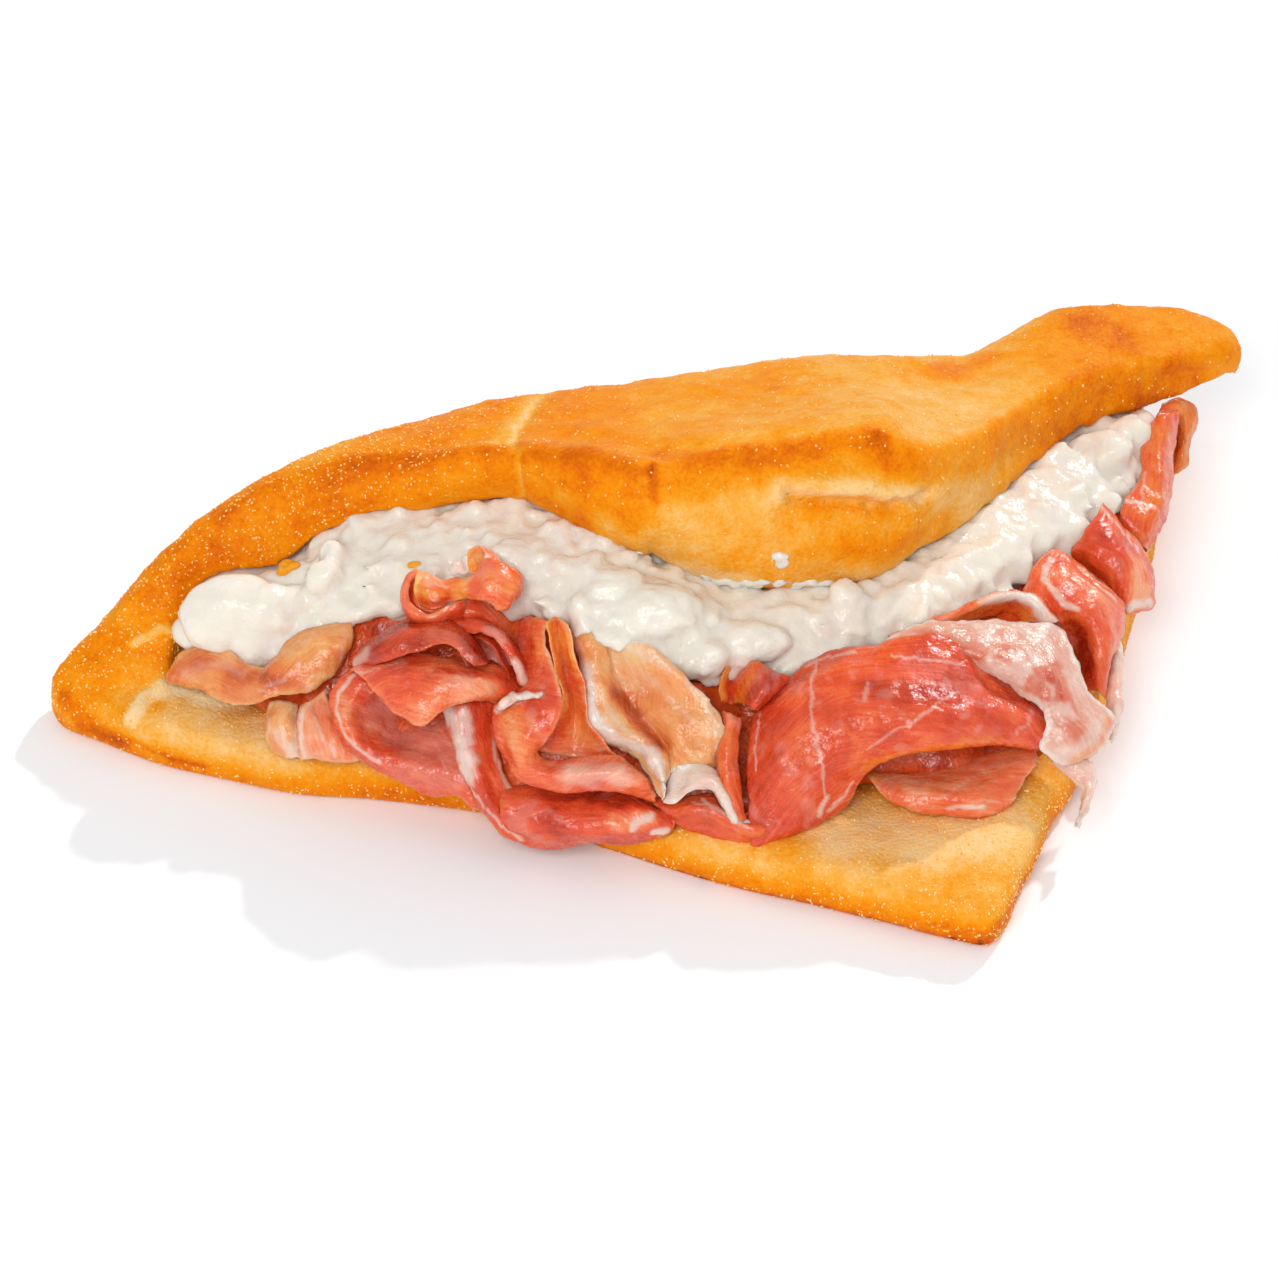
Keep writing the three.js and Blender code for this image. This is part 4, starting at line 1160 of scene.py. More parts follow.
def make_heap():
    """Folded ham behind the slices that show, one closed skin."""
    x = spread(*HEAP_SPAN, HEAP_STATIONS)
    (low_y, low_z), (full_y, full_z), (base_y,) = (
        along(guide, x).T for guide in (CHEESE_LOW, HEAP_FULL, HEAP_BASE))
    fold = PLEAT_DEPTH * np.sin(x / PLEAT_SCALE)
    level = np.full_like(x, FILLING_FLOOR)
    obj = mesh_object("ham_folded_behind", *loft(sections(x, [
        (base_y + 1, level), (base_y + 0.5, level + 2.6), (full_y - fold + 2, full_z - 2),
        (low_y - 0.5, low_z - 4), (low_y, low_z - 8), (base_y + 9, level),
    ], HEAP_AROUND)))
    points, normals, _ = skin(obj)
    reshape(obj, points + normals * layers(points, HEAP_WAVES, 2, 8)[:, None])
    paint(obj, "fat", HEAP_FAT * step(0.25, 0.5, clouds(points, 9, 2, 5)))
    paint(obj, "painted_glow", np.full(len(points), HEAP_GLOW))
    paint(obj, "tone", HEAP_TONE + 0.15 * clouds(points, 12, 2, 6))
    paint(obj, "lie", points[:, [2, 0, 1]] * MM)
    return obj


heap = make_heap()
dress(heap, HAM["ham"][0])
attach(heap, "root")
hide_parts("ham_heap")
print("heap:", len(heap.data.polygons), "faces")

# %% [markdown]
# Each slice is a thin sheet through rows of points. Its outline and folds are easiest to see in
# the photograph, so a row lists pixels, and a third number says how far in mm the sheet stands out
# there towards the camera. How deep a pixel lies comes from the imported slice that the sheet
# replaces, or belongs to.

# %% Rows of the slices
SLICES = {
    "low_front": ("ham", [
        [(505, 785), (530, 785, -1), (560, 790, -2), (592, 790, -3), (622, 790, -2), (645, 801),
         (664, 812), (676, 822)],
        [(500, 805, 2), (528, 805, 3), (560, 808, 4), (592, 808, 3), (622, 806, 3), (645, 815, 3),
         (660, 822, 2), (674, 828)],
        [(505, 825, 2), (530, 828, 4), (560, 830, 5), (592, 828, 5), (622, 826, 4), (642, 828, 3),
         (656, 832, 2), (668, 835)],
        [(520, 842), (540, 846), (562, 847), (592, 840, 1), (620, 843, 1), (638, 841, 1), (650, 838),
         (660, 838)]]),
    "front_strand": ("ham", [
        [(441, 706), (450, 740), (460, 770), (476, 802), (492, 824), (515, 842)],
        [(458, 702, 2), (464, 740, 3), (473, 770, 3), (488, 800, 3), (503, 820, 2), (524, 843, 1)],
        [(478, 700, 1), (481, 740, 1), (487, 770, 1), (500, 795, 1), (514, 815, 1), (533, 840, 1)],
        [(497, 700, -1), (498, 740, -1), (502, 768), (514, 790), (526, 810), (542, 838)]]),
    "ribbon": ("ham", [
        [(528, 617), (538, 616, 2), (548, 620, 3)], [(522, 632), (533, 630, 3), (545, 634, 4)],
        [(522, 650), (537, 650, 3.5), (550, 655, 4.5)], [(528, 668), (545, 670, 3.5), (557, 675, 4.5)],
        [(524, 687, 1), (545, 690, 4), (562, 696, 5)], [(498, 706, 2), (533, 706, 5), (563, 710, 5)],
        [(495, 722, 2), (525, 724, 6), (557, 724, 5)], [(499, 742, 2), (522, 742, 6), (546, 739, 4)],
        [(508, 758, 2), (523, 758, 5), (538, 752, 3)], [(518, 774, 2), (531, 769, 4), (545, 760, 2)],
        [(538, 784, 2), (551, 775, 4), (562, 761, 2)], [(575, 789, 2), (583, 774, 5), (590, 757, 2)],
        [(610, 787, 2), (618, 772, 5), (622, 758, 2)], [(640, 795, 1), (645, 785, 3), (644, 775, 1)],
        [(655, 800), (656, 794, 1), (655, 789)]]),
    "fat_fold": ("fat", [
        [(672, 762), (688, 761, 1), (705, 764, 1), (717, 770, 1), (724, 784, 1), (732, 800, 1),
         (737, 815, 1), (752, 822)],
        [(668, 778, -2), (682, 778), (700, 776, 3), (714, 781, 4), (723, 793, 3), (730, 808, 2),
         (736, 820, 1), (750, 825)],
        [(664, 803), (676, 804, 1), (688, 793, 2), (702, 790, 2), (714, 792, 2), (721, 802, 1),
         (728, 817), (738, 825)]]),
    "pale_fat": ("tan", [
        [(562, 628), (577, 655), (583, 690), (585, 716), (600, 742), (632, 756), (648, 775), (664, 803)],
        [(575, 628, 2), (588, 655, 3), (593, 690, 3), (600, 718, 3), (615, 736, 3), (642, 740, 3),
         (658, 760, 3), (664, 790, 2)],
        [(595, 632, 3), (604, 655, 4), (607, 685, 4), (616, 708, 4), (630, 728, 3), (650, 738, 2),
         (664, 755, 2), (668, 780)],
        [(610, 636, 2), (613, 662, 1), (620, 688), (634, 708), (650, 724), (662, 740), (669, 758),
         (670, 775)],
        [(628, 640, 4), (640, 664, 5), (652, 688, 2), (664, 708, 3), (674, 725, 4), (678, 742, 4),
         (680, 757, 3), (678, 768, 1)],
        [(650, 645, 7), (668, 668, 6.5), (685, 690, 5), (698, 710, 5), (704, 728, 5), (704, 745, 4),
         (702, 760, 3), (700, 765, 1)],
        [(668, 660, 6.5), (690, 682, 5.5), (708, 698, 4.5), (720, 714, 4), (724, 732, 3.5), (718, 748, 3),
         (719, 764, 1), (717, 772)]]),
    "centre_band": ("ham", [
        [(648, 795, -2), (670, 800, -1), (692, 796, -1), (714, 795, -1), (728, 808), (745, 820),
         (768, 818)],
        [(655, 806, 1), (674, 810, 2), (694, 810, 3), (714, 812, 3), (732, 822, 3), (750, 829, 3),
         (775, 824, 2)],
        [(664, 816), (680, 823), (696, 829), (714, 834), (735, 839), (757, 839), (785, 830)]]),
    "big_right": ("ham", [
        [(760, 708, -2), (785, 684, -1), (808, 660), (840, 649), (880, 643, 1), (920, 634, 2), (960, 640),
         (1000, 660, -3), (1040, 690, -5)],
        [(753, 730), (778, 715, 3), (806, 700, 4), (840, 690, 6), (880, 682, 6), (920, 676, 5.5),
         (960, 680, 4), (1000, 692, 1.5), (1045, 706, -2)],
        [(751, 765), (778, 760, 4), (812, 745, 5), (845, 728, 7), (880, 715, 8), (920, 704, 8),
         (960, 704, 7), (1000, 708, 5), (1052, 718, 1)],
        [(752, 800), (780, 798, 3), (812, 785, 4), (838, 765, 5), (870, 742, 7), (910, 728, 8),
         (955, 722, 8), (1000, 722, 6), (1052, 730, 2)],
        [(756, 838), (785, 830, 1), (818, 820, 1), (846, 800, 1), (864, 770, 3), (900, 752, 5),
         (945, 743, 6), (1000, 737, 5), (1045, 742, 1)]]),
    "small_roll": ("ham", [
        [(721, 702, 1), (718, 687, 1), (723, 670, 1), (738, 657, 1)],
        [(732, 706, -2), (731, 690, -3), (735, 674, -3), (745, 662, -2)],
        [(745, 704, 3), (748, 687, 5), (752, 672, 5), (755, 661, 4)],
        [(754, 708, 4), (762, 693, 6), (767, 679, 6), (770, 668, 4)],
        [(758, 711), (771, 697, 1), (780, 685, 1), (786, 675, 1)]]),
    "fat_flap": ("fat", [
        [(880, 644), (915, 624), (960, 620), (1010, 622), (1058, 628), (1078, 662), (1088, 693),
         (1108, 708), (1118, 722)],
        [(890, 645, 1), (920, 632, 1.5), (962, 634, 2), (1008, 642, 3), (1042, 655, 4), (1062, 680, 4),
         (1076, 702, 3), (1095, 722, 3), (1110, 738, 1)],
        [(900, 645, 1), (928, 640, 1), (962, 650, 2), (1000, 662, 4), (1030, 676, 5), (1050, 696, 4),
         (1064, 714, 4), (1080, 736, 4), (1092, 755, 1)],
        [(910, 645), (940, 653), (965, 661), (990, 673, 1), (1018, 692, 1), (1036, 704, 1), (1046, 722, 2),
         (1040, 745, 2), (1062, 768)]]),
    "under_lip": ("ham", [
        [(868, 765, -6), (900, 762, -9), (930, 755, -9), (960, 748, -6), (1000, 742, -4), (1030, 742, -2)],
        [(868, 768, -4), (900, 774, -5), (928, 768, -5), (960, 762, -3), (1000, 757, -1), (1036, 752)],
        [(866, 774), (900, 783, 1), (930, 784, 2), (965, 780, 3), (1000, 774, 3), (1036, 764, 1)],
        [(875, 788, 1), (905, 794, 2), (935, 797, 3), (968, 796, 4), (1000, 788, 3), (1026, 778, 1)],
        [(885, 797), (910, 803), (940, 808), (970, 808), (1000, 802), (1020, 790)]]),
    "fat_tail": ("fat", [
        [(1050, 762), (1068, 776), (1082, 795), (1080, 812), (1076, 829)],
        [(1094, 758), (1096, 776), (1092, 795), (1087, 812), (1079, 829)]]),
    "right_arch": ("ham", [
        [(890, 636), (930, 619), (965, 605), (995, 592), (1022, 591), (1045, 601), (1060, 622)],
        [(895, 638, 1), (933, 622, 2), (968, 609, 3), (996, 597, 4), (1020, 596, 4), (1038, 606, 4),
         (1050, 624, 3)],
        [(900, 642), (940, 628), (972, 612, 1), (998, 601, 2), (1018, 601, 2), (1028, 609, 2),
         (1033, 623, 2)],
        [(905, 646, -2), (945, 634, -2), (975, 622, -4), (995, 614, -5), (1010, 614, -5), (1018, 618, -4),
         (1022, 628, -3)]]),
    "right_mid": ("ham", [
        [(1024, 590), (1033, 568), (1055, 548), (1078, 563), (1100, 581), (1120, 598)],
        [(1040, 600, 2), (1047, 582, 2), (1062, 575, 3), (1080, 583, 3), (1100, 592, 3), (1125, 606)],
        [(1055, 618, 2), (1062, 606, 3), (1074, 604, 4), (1088, 606, 4), (1104, 612, 4), (1124, 625)],
        [(1064, 630, -4), (1072, 622, -3), (1084, 622), (1096, 624, 4), (1108, 632, 4), (1118, 645)],
        [(1072, 655, -6), (1080, 652, -5), (1088, 650, -2), (1098, 652, 3), (1106, 660, 3), (1108, 668)],
        [(1084, 690, -3), (1088, 690, -3), (1092, 690), (1098, 692, 2), (1103, 696, 2), (1106, 700)]]),
    "back_strip": ("fat", [
        [(1121, 638), (1123, 680), (1122, 715), (1112, 744)],
        [(1112, 660), (1106, 690), (1108, 715), (1102, 742)]]),
    "right_fold": ("ham", [
        [(1103, 501), (1115, 517), (1128, 533), (1142, 549), (1154, 572), (1156, 600)],
        [(1092, 520, 2), (1104, 536, 3), (1116, 551, 4), (1128, 566, 4), (1138, 585, 3), (1140, 608, 1)],
        [(1080, 540, 1), (1090, 553, 1), (1102, 566), (1114, 578, 1), (1124, 594, 2), (1128, 612)],
        [(1064, 550, -2), (1080, 563, -4), (1094, 574, -5), (1106, 584, -4), (1116, 597, -2),
         (1124, 610, -2)]]),
    "right_back": ("ham", [
        [(1148, 430, -3), (1140, 450, -3), (1140, 478, -3), (1125, 498, -2), (1120, 515, -2),
         (1128, 538, -2)],
        [(1152, 424), (1143, 445), (1145, 475), (1147, 505), (1143, 530), (1136, 546)],
        [(1163, 415, 3), (1158, 445, 4), (1159, 475, 4), (1159, 503, 3), (1153, 526, 2), (1142, 547, 1)],
        [(1178, 412), (1174, 445), (1172, 475), (1168, 505), (1160, 528), (1147, 550)]]),
    "right_curl": ("ham", [
        [(1152, 424), (1166, 415, 1), (1175, 420, -1), (1178, 440, -2), (1176, 462, -2), (1171, 481, -1)],
        [(1158, 414, 2), (1174, 407, 3), (1184, 415, 3), (1186, 434, 3), (1183, 452, 1), (1178, 474, 1)],
        [(1163, 405), (1180, 400), (1193, 408), (1195, 428), (1188, 446), (1188, 466)]]),
    "flap_left": ("ham", [
        [(352, 670), (372, 661), (400, 655), (430, 658), (460, 663), (490, 668), (512, 676), (528, 689)],
        [(360, 675, 1), (380, 672, 3), (402, 672, 4), (430, 675, 5), (458, 679, 5), (485, 683, 4),
         (507, 685, 2), (527, 691)],
        [(372, 688, 2), (388, 692, 4), (405, 698, 5), (428, 700, 6), (450, 693, 5), (478, 694, 4),
         (503, 693, 2), (526, 692)],
        [(383, 703, 2), (392, 712, 3), (403, 718, 3), (424, 726, 4), (440, 711, 4), (470, 701, 2),
         (500, 698), (526, 693, -1)]]),
    "hollow_left": ("ham", [
        [(352, 672, 2), (375, 676, 2), (400, 690, -2), (425, 700, -4), (450, 708, -3), (475, 712, -2),
         (495, 716, -2)],
        [(334, 695, 1), (350, 705, 3), (372, 712), (398, 722, -4), (425, 730, -2), (455, 735), (485, 742)],
        [(334, 715), (350, 732, 4), (375, 738, 2), (398, 740, -1), (425, 748), (455, 755, 1),
         (490, 762, 1)],
        [(343, 740), (362, 752, 3), (385, 757, 3), (410, 762, 3), (435, 770, 3), (462, 778, 2),
         (495, 785, 2)],
        [(362, 762, -2), (382, 770), (405, 780), (425, 787), (450, 790), (470, 798), (500, 806)]]),
    "fan_mid": ("ham", [
        [(300, 706), (297, 722, 1), (298, 742, 1), (301, 759)],
        [(307, 702, 1), (309, 722, 3), (313, 742, 3), (318, 760, 1)],
        [(312, 699), (322, 722, 1), (332, 742, 1), (337, 762)],
        [(325, 690, -1), (334, 718), (346, 742), (362, 760, -1)]]),
    "fan_back": ("tan", [
        [(270, 702), (265, 718), (264, 733), (272, 749), (288, 756)],
        [(284, 701, 1), (281, 718, 2), (280, 733, 2), (284, 746, 2), (294, 757, 1)],
        [(298, 704), (299, 720, 1), (301, 738, 1), (302, 750, 1), (303, 761)]]),
    "fold_low": ("ham", [
        [(348, 666, -1), (354, 655, -1), (370, 641), (390, 629), (412, 623), (436, 621), (456, 623),
         (470, 632), (480, 647), (488, 662, 1)],
        [(352, 668, 1), (360, 660, 3), (376, 650, 4), (396, 641, 4.5), (416, 634, 5), (438, 631, 5),
         (455, 634, 5), (465, 643, 5), (474, 654, 4), (483, 665, 3)],
        [(354, 671, 2), (366, 668, 4), (382, 663, 5), (400, 658, 5), (418, 652, 5.5), (436, 645, 6),
         (449, 645, 6), (458, 650, 6), (465, 659, 5), (474, 667, 4)]]),
    "fold_high": ("ham", [
        [(440, 620, -2), (462, 619, -2), (482, 621, -2), (498, 629, -2), (511, 642, -2), (521, 657, -2),
         (528, 672, -1), (533, 687, -1)],
        [(446, 626, 1), (466, 625, 2.5), (484, 626, 3), (497, 633, 3.5), (508, 645, 3.5), (516, 659, 3),
         (522, 673, 2.5), (527, 687, 1.5)],
        [(452, 632, 1), (468, 633, 3), (482, 633, 4), (493, 638, 4.5), (503, 648, 4.5), (510, 661, 4),
         (515, 673, 3), (519, 686, 2)]]),
    "curl_rim": ("ham", [
        [(422, 570, 3), (411, 582, 5), (409, 594, 6), (414, 605, 7), (428, 613, 7), (445, 608, 6),
         (458, 602, 5), (468, 597, 5)],
        [(417, 570, 3), (407, 582, 5), (404, 595, 6), (410, 610, 7), (428, 618, 7), (446, 614, 6),
         (458, 608, 5), (466, 604, 5)],
        [(413, 574), (403, 586, 1), (402, 602, 2), (410, 618, 3), (428, 625, 3), (446, 624, 3),
         (458, 621, 3), (466, 618, 3)]]),
    "curl_flap": ("ham", [
        [(419, 571, 3), (430, 575, 2), (442, 580, 2), (456, 578, 4), (470, 577, 6), (484, 558, 7),
         (500, 561, 7), (512, 568, 6), (522, 576, 5)],
        [(413, 588, 2), (426, 592), (441, 596), (456, 593, 3), (472, 590, 6), (488, 582, 8), (503, 583, 8),
         (513, 585, 7), (521, 588, 4)],
        [(417, 603, 3), (430, 610, 1), (443, 606, 1), (458, 600, 3), (472, 598, 5), (487, 602, 7),
         (498, 610, 6), (506, 610, 5), (511, 602, 3)]]),
    "left_twist": ("tan", [
        [(166, 672), (180, 655, 1), (200, 643, 2), (222, 646, 2.5), (238, 657, 1), (262, 669), (272, 658),
         (285, 643), (300, 632), (325, 625), (352, 617)],
        [(165, 679, 1), (185, 672, 3), (205, 668, 4), (225, 672, 2), (245, 676), (258, 680, 1),
         (275, 672, 2.5), (295, 662, 3), (315, 652, 2.5), (335, 645, 1), (352, 636, -1)],
        [(166, 684), (190, 686, 2), (210, 694, 3), (228, 704, 3), (245, 704, 2), (262, 700, 2),
         (278, 696, 2), (292, 695, 1), (310, 690), (330, 678, -1), (343, 668, -2)]]),
}
# Parts of the same slices that are too small for a solid of their own, with the slice they belong to
EXTRAS = {
    "curl_tube": ("ham", [
        [(485, 561, 6), (482, 550, 4.5), (474, 546, 3), (467, 553, 3), (467, 565, 5), (475, 573, 7),
         (483, 569, 7), (485, 561, 6)],
        [(494, 564, 5.5), (490, 554, 3), (482, 551, 1.5), (475, 558, 1), (477, 568, 3), (484, 576, 6),
         (492, 572, 6.5), (494, 564, 5.5)],
        [(503, 568, 4), (499, 559, 2), (492, 556, 0), (486, 563, 0), (488, 572, 2), (494, 579, 4),
         (501, 576, 5), (503, 568, 4)]], "ham_curl_flap"),
    "curl_band": ("ham", [
        [(466, 598, 3), (478, 602, 3), (492, 610, 2), (506, 620, 1), (518, 634)],
        [(464, 612, 4), (478, 614, 4), (490, 622, 3), (502, 632, 2), (512, 644)],
        [(462, 624), (478, 626), (488, 632), (498, 642), (506, 654)]], "ham_curl_rim"),
    "fat_bit": ("fat", [
        [(448, 569, 3), (454, 562, 4.5), (461, 562, 3), (467, 557, 4)],
        [(451, 573, 4), (457, 568, 5.5), (463, 569, 4), (469, 565, 5)],
        [(455, 576, 4), (460, 574, 5), (466, 575, 5), (471, 572, 5.5)]], "ham_curl_flap"),
    "fold_hollow": ("ham", [
        [(466, 632, -1), (486, 631, -1), (504, 642, -1), (515, 658, -1)],
        [(472, 645, -4), (486, 645, -6), (500, 653, -5), (512, 668, -3)],
        [(482, 662, -2), (492, 660, -4), (502, 667, -4), (514, 680, -2)]], "ham_fold_high"),
    "ribbon_lining": ("ham", [
        [(546, 622, 3), (556, 618, -2), (568, 624, 2)], [(550, 648, 3), (561, 650, -3), (576, 654, 2)],
        [(557, 678, 3), (569, 684, -4), (586, 690, 2)], [(562, 706, 2), (575, 714, -5), (592, 722, 2)],
        [(550, 730), (574, 738, -4), (606, 742, 2)], [(538, 752), (572, 757, -3), (618, 758, 1)]],
        "ham_ribbon_lobe"),
    "upright": ("ham", [
        [(722, 710, 1), (716, 745, 1), (719, 775, 1), (731, 818)],
        [(730, 712, 3), (726, 745, 4), (728, 778, 3), (738, 822, 1)],
        [(738, 718, 1), (735, 745, 2), (737, 778, 1), (744, 822)]], "ham_big_right"),
    "lobe_rim": ("fat", [
        [(497, 708, 4), (503, 699, 4.5), (511, 692, 3.5), (519, 693, 5.5), (527, 690, 4), (535, 693, 5.5),
         (543, 691, 4)],
        [(498, 709, 5), (506, 702, 6.5), (513, 697, 5), (521, 698, 7), (529, 695, 5.5), (537, 697, 7),
         (543, 693, 5)],
        [(499, 710, 5), (508, 705, 6), (516, 701, 5.5), (523, 702, 6.5), (531, 699, 6), (538, 700, 6.5),
         (543, 695, 5)]], "ham_ribbon_lobe"),
}
print("slices:", len(SLICES), "and small parts of them:", len(EXTRAS))

# %% [markdown]
# A side of a slice is either a cut edge, which is thin and ragged, or a fold, where the sheet
# rolls back behind itself. The rolled sides are what makes ham look ruffled. Between its sides the
# sheet is crumpled by soft noise, and last it gets its thickness.

# %% Sheets of ham
SLICE_MM = 0.8
EDGE_MM = 0.28
FACET_MM = 0.6
DEPTH_BLUR, DEPTH_FALL = 30.0, 1.5
LEAST_COLUMNS, LEAST_LINES = 24, 16
BOW, STRIP_BOW = 0.2, 1.8
SIDES = {"start": (0, True), "end": (0, False), "first": (1, True), "last": (1, False)}
ROLL_TURN = math.radians(165)
LEAST_ROLL = 6
FAR_STEP = 1.5 * FACET_MM
# Slices with an outline more ragged than the others', and how much more
RAGGED = {"fat_flap": 1.8, "fat_tail": 1.8, "pale_fat": 1.8}
RAGS = [(6, 0.5, 0), (1.8, 0.25, 9)]
RAG_REACH, FLUTTER_REACH, THIN_REACH = 4, 5, 1.6
CRUMPLE = [(7, 0.55), (2.4, 0.26)]
FLUTTER = [(4.5, 0.6)]
# Sides that roll back, each with the radius of the roll and how far it runs on behind, in mm
FOLDS = {
    "low_front": {"last": (2.0, 4)}, "ribbon": {"start": (1.6, 3)}, "centre_band": {"last": (2.0, 5)},
    "big_right": {"last": (2.2, 7), "start": (1.2, 4)}, "under_lip": {"last": (2.2, 6)},
    "right_fold": {"end": (1.5, 4)}, "right_back": {"last": (1.5, 4)}, "right_curl": {"last": (1.5, 4)},
    "flap_left": {"first": (2.2, 6)}, "hollow_left": {"last": (2.4, 5), "start": (1.2, 4)},
    "fold_low": {"first": (1.6, 4)}, "fold_high": {"first": (1.6, 4)}, "small_roll": {"last": (1.5, 4)},
    "curl_flap": {"end": (1.2, 3)}, "curl_rim": {"last": (1.2, 3)},
    "upright": {"last": (1.0, 3)}, "curl_band": {"first": (1.0, 3)},
}


def depth_of(nodes, where):
    """How deep packed slices lie at pixels, from the points of them nearest to those."""
    corners = np.array([solid.matrix_world @ v.co for solid in map(bpy.data.objects.get, nodes)
                        for v in solid.data.vertices]) / MM + CENTRE
    seen, depth = pixels(corners)
    away = ((where[:, None] - seen[None]) ** 2).sum(axis=2)
    weight = (away + DEPTH_BLUR) ** -DEPTH_FALL
    return (weight * depth).sum(axis=1) / weight.sum(axis=1)


def placed(rows, nodes):
    """Rows of points of the drawing from rows of pixels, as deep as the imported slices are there."""
    made = []
    for row in rows:
        spots = np.array([(*p, 0)[:3] for p in row], float)
        made.append(unprojected(spots[:, :2], depth_of(nodes, spots[:, :2]) - spots[:, 2]))
    return made


def unit(ways):
    """The same directions, each 1 long."""
    return ways / np.maximum(np.linalg.norm(ways, axis=-1, keepdims=True), 1e-9)


def facing(grid):
    """Normals of a grid of points, on the side that faces the camera."""
    normals = unit(np.cross(np.gradient(grid, axis=0), np.gradient(grid, axis=1)))
    return -normals if (normals @ AHEAD).mean() > 0 else normals


def sheet(rows):
    """Middle surface of a slice as a fine grid of points."""
    length = max(np.linalg.norm(np.diff(row, axis=0), axis=1).sum() for row in rows)
    middles = np.array([row[len(row) // 2] for row in rows])
    width = np.linalg.norm(np.diff(middles, axis=0), axis=1).sum()
    columns = max(LEAST_COLUMNS, int(length / FACET_MM))
    lines = max(LEAST_LINES, int(width / FACET_MM))
    strips = np.stack([smooth_line(row, columns) for row in rows], axis=1)
    grid = smooth_line(strips, lines)
    bow = np.sin(np.linspace(0, math.pi, lines)) * (STRIP_BOW if len(rows) < 3 else BOW)
    return grid + facing(grid) * bow[None, :, None]


def rolled(grid, side, radius, reach):
    """The sheet carried on past one side and rolled back behind itself."""
    axis, reverse = SIDES[side]
    normals = facing(grid)
    if reverse:
        grid, normals = np.flip(grid, axis), np.flip(normals, axis)
    if axis == 0:
        grid, normals = grid.swapaxes(0, 1), normals.swapaxes(0, 1)
    edge, out = grid[:, -1], normals[:, -2]
    way = unit(edge - grid[:, -4])
    count = max(LEAST_ROLL, int(radius * ROLL_TURN / FACET_MM))
    more = []
    for angle in np.linspace(0, ROLL_TURN, count + 1)[1:]:
        more.append(edge + radius * (math.sin(angle) * way - (1 - math.cos(angle)) * out))
    on = math.cos(ROLL_TURN) * way - math.sin(ROLL_TURN) * out
    for far in np.arange(FAR_STEP, reach, FAR_STEP):
        more.append(more[count - 1] + far * on)
    grid = np.concatenate([grid, np.stack(more, axis=1)], axis=1)
    if axis == 0:
        grid = grid.swapaxes(0, 1)
    return np.flip(grid, axis) if reverse else grid


def side_distance(side, grid):
    """Distance in mm of each grid point from one side, measured along the sheet."""
    axis, reverse = SIDES[side]
    steps = np.linalg.norm(np.diff(grid, axis=axis), axis=2)
    far = np.concatenate([np.zeros_like(np.take(steps, [0], axis)), np.cumsum(steps, axis=axis)], axis)
    return far if reverse else np.take(far, [-1], axis) - far


def cut_sides(name):
    """Sides of a slice that don't roll back, always in the same order."""
    return [side for side in SIDES if side not in FOLDS.get(name, {})]


def crumpled(grid, name, seed):
    """The sheet with soft crumples, fluttering cut edges and a ragged outline."""
    flat = grid.reshape(-1, 3)
    out = facing(grid)
    free = np.zeros(grid.shape[:2])
    ragged = sum(height * clouds(flat, size, 2, seed + more) for size, height, more in RAGS)
    ragged = ragged.reshape(free.shape) * RAGGED.get(name, 1)
    for side in cut_sides(name):
        away = side_distance(side, grid)
        free = np.maximum(free, step(FLUTTER_REACH, 0, away))
        axis, reverse = SIDES[side]
        way = unit(np.gradient(grid, axis=axis) * (-1 if reverse else 1))
        grid = grid + way * (ragged * step(RAG_REACH, 0, away))[..., None]
    crumple, flutter = layers(flat, CRUMPLE, 2, seed + 3), layers(flat, FLUTTER, 1, seed + 5)
    lift = crumple.reshape(free.shape) + flutter.reshape(free.shape) * free
    return grid + out * lift[..., None]


def shell(grid):
    """Points and faces of the closed slice round a middle surface."""
    out = facing(grid)
    rows, columns = grid.shape[:2]
    edge = np.minimum.reduce([side_distance(side, grid) for side in SIDES])
    half = mix(EDGE_MM, SLICE_MM, step(0, THIN_REACH, edge))[..., None] / 2
    points = np.concatenate([(grid + out * half).reshape(-1, 3), (grid - out * half).reshape(-1, 3)])
    n = rows * columns
    front = grid_faces(rows, columns, False)
    rim = np.concatenate([
        np.arange(columns), (np.arange(1, rows) + 1) * columns - 1,
        (rows - 1) * columns + np.arange(columns - 2, -1, -1), np.arange(rows - 2, 0, -1) * columns,
    ])
    after = np.roll(rim, -1)
    sides = np.stack([after, rim, rim + n, after + n], axis=1)
    faces = np.concatenate([front, front[:, ::-1] + n, sides])
    quads = points[front]
    made = np.cross(quads[:, 1] - quads[:, 0], quads[:, 2] - quads[:, 1])
    towards = out.reshape(-1, 3)[front[:, 0]]
    return points, faces if (made * towards).sum() > 0 else faces[:, ::-1]


print("sides that roll back:", sum(len(sides) for sides in FOLDS.values()))

# %% [markdown]
# White seams, painted highlights, painted shade in hollows and painted light on lit patches are
# laid on. Each is a line of the photograph's pixels laid on its own slice, with a width in mm and
# a strength. A rim of fat follows a cut edge.

